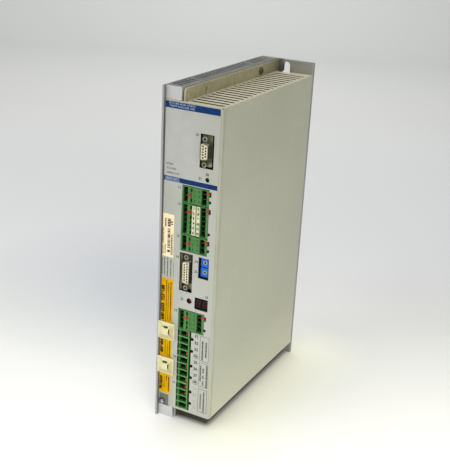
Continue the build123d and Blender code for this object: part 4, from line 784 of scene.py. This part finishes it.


# White paper, matt: painted brighter in front, as the lamps fall off
def studioPaper(angle):
    made, tree = newMaterial("Studio paper, white")
    place = addNode(tree, "ShaderNodeTexCoord", out="Object")
    away = addNode(tree, "ShaderNodeVectorMath", (place, (-math.sin(angle), math.cos(angle), 0)), "Value",
                   operation="DOT_PRODUCT")
    tones = floorLook["tones"]
    first, last = tones[0][0], tones[-1][0]
    share = addNode(tree, "ShaderNodeMapRange", (away, first, last, 0.0, 1.0), 0)
    fade = addNode(tree, "ShaderNodeValToRGB", (share,))
    stops = fade.color_ramp.elements
    while len(stops) < len(tones):
        stops.new(0.5)
    for stop, (at, tone) in zip(stops, tones):
        stop.position = (at - first) / (last - first)
        stop.color = linear(tone)
    apart = addNode(tree, "ShaderNodeVectorMath", (place, floorLook["shadeAt"]), "Value",
                    operation="DISTANCE")
    dim = addNode(tree, "ShaderNodeMapRange",
                  (apart, *floorLook["shadeSpan"], floorLook["shadeAmount"], 0.0), 0)
    base = addNode(tree, "ShaderNodeMix", {0: dim, 6: fade.outputs[0], 7: floorLook["shade"]}, 2,
                   data_type="RGBA")
    body = addNode(tree, "ShaderNodeBsdfPrincipled", {
        "Base Color": tinted(tree, base, floorLook), "Roughness": floorLook["rough"],
        "Specular IOR Level": floorLook["sheen"]}, 0)
    addNode(tree, "ShaderNodeOutputMaterial", (body,))
    return made


# Backdrop: a flat floor that turns up behind through a quarter circle, far plus bend times sin t and bend
# times (1 - cos t), carried sideways and turned to the camera
def backdrop():
    near, far, bend = floorLook["near"], floorLook["far"], floorLook["bend"]
    turn = np.linspace(0, math.pi / 2, floorLook["bendSteps"] + 1)[1:]
    curve = np.stack([far + bend * np.sin(turn), bend * (1 - np.cos(turn))], -1)
    line = np.concatenate([[[near, 0.0], [far, 0.0]], curve, [[far + bend, bend + floorLook["rise"]]]])
    across = np.linspace(-floorLook["half"], floorLook["half"], floorLook["columns"])
    side, deep = np.meshgrid(across, line[:, 0])
    high = np.broadcast_to(line[:, 1:], side.shape)
    angle = math.radians(floorLook["turn"])
    xx = side * math.cos(angle) - deep * math.sin(angle)
    yy = side * math.sin(angle) + deep * math.cos(angle)
    sheet = fillMesh("backdrop", np.stack([xx, yy, high], -1).reshape(-1, 3), gridFaces(*side.shape),
                     studioPaper(angle))
    sheet.data.shade_smooth()


backdrop()

# Soft round lamps: place and aim in m, diameter in m, power in W, spread in degrees
lamps = {
    "keyLamp": dict(at=(-0.9, -1.5, 1.5), aim=(0, 0, 0.18), size=1.6, power=12.1, colour="#fffdf8"),
    "sideLamp": dict(at=(1.6, -0.6, 0.6), aim=(0, 0, 0.18), size=1.4, power=0.4, colour="#fbfcff"),
    "topLamp": dict(at=(-0.3, 0.3, 2.0), aim=(0, 0, 0.18), size=1.8, power=13.4, colour="#ffffff"),
    "floorLamp": dict(at=(0.6, -0.2, 1.2), aim=(0.15, 0, 0), size=0.8, power=0.36, colour="#fff2d2",
                      spread=70),
    "lowLamp": dict(at=(0.9, -1.0, 0.22), aim=(0, -0.05, 0), size=0.5, power=1.1, colour="#ffffff",
                    spread=50),
    "wallLamp": dict(at=(-0.6, 1.0, 1.7), aim=(-1.2, 2.5, 0.6), size=1.2, power=12, colour="#ffffff",
                     spread=150),
}
for name, look in lamps.items():
    data = bpy.data.lights.new(name, "AREA")
    data.shape = "DISK"
    data.size = look["size"]
    data.energy = look["power"]
    data.spread = math.radians(look.get("spread", 180))
    data.color = linear(look["colour"])[:3]
    lamp = bpy.data.objects.new(name, data)
    lamp.location = look["at"]
    lamp.rotation_euler = (Vector(look["aim"]) - lamp.location).to_track_quat("-Z", "Y").to_euler()
    bpy.context.scene.collection.objects.link(lamp)

room = dict(colour="#eef0f2", strength=0.6)    # even light from the walls of the room
world = bpy.data.worlds.new("Studio room")
world.use_nodes = True
world.node_tree.nodes.clear()
glow = addNode(world.node_tree, "ShaderNodeBackground", (room["colour"], room["strength"]), 0)
addNode(world.node_tree, "ShaderNodeOutputWorld", (glow,))
bpy.context.scene.world = world

# Camera: place in mm from the drive's front, the way it looks, its roll in degrees, lens and sensor in mm
view = dict(across=439.69, up=532.86, proud=703.17, ahead=(-0.4313, 0.8258, -0.3633), roll=2.924, lens=68.31,
            sensor=36, shift=(0.0014, 0.0053), reach=20)
ahead = Vector(view["ahead"]).normalized()
level = ahead.cross(Vector((0, 0, 1))).normalized()
upright = level.cross(ahead)
roll = math.radians(view["roll"])
side = math.cos(roll) * level + math.sin(roll) * upright
top = -math.sin(roll) * level + math.cos(roll) * upright
camera = bpy.data.objects.new("camera", bpy.data.cameras.new("camera"))
stand = Vector(onFront(view["across"], view["up"], view["proud"]))
camera.matrix_world = Matrix.Translation(stand) @ Matrix((side, top, -ahead)).transposed().to_4x4()
camera.data.lens = view["lens"]
camera.data.sensor_width = view["sensor"]
camera.data.shift_x, camera.data.shift_y = view["shift"]
camera.data.clip_end = view["reach"]
bpy.context.scene.collection.objects.link(camera)
bpy.context.scene.camera = camera
bpy.context.scene.view_settings.view_transform = "Standard"
print("stage, light and camera")
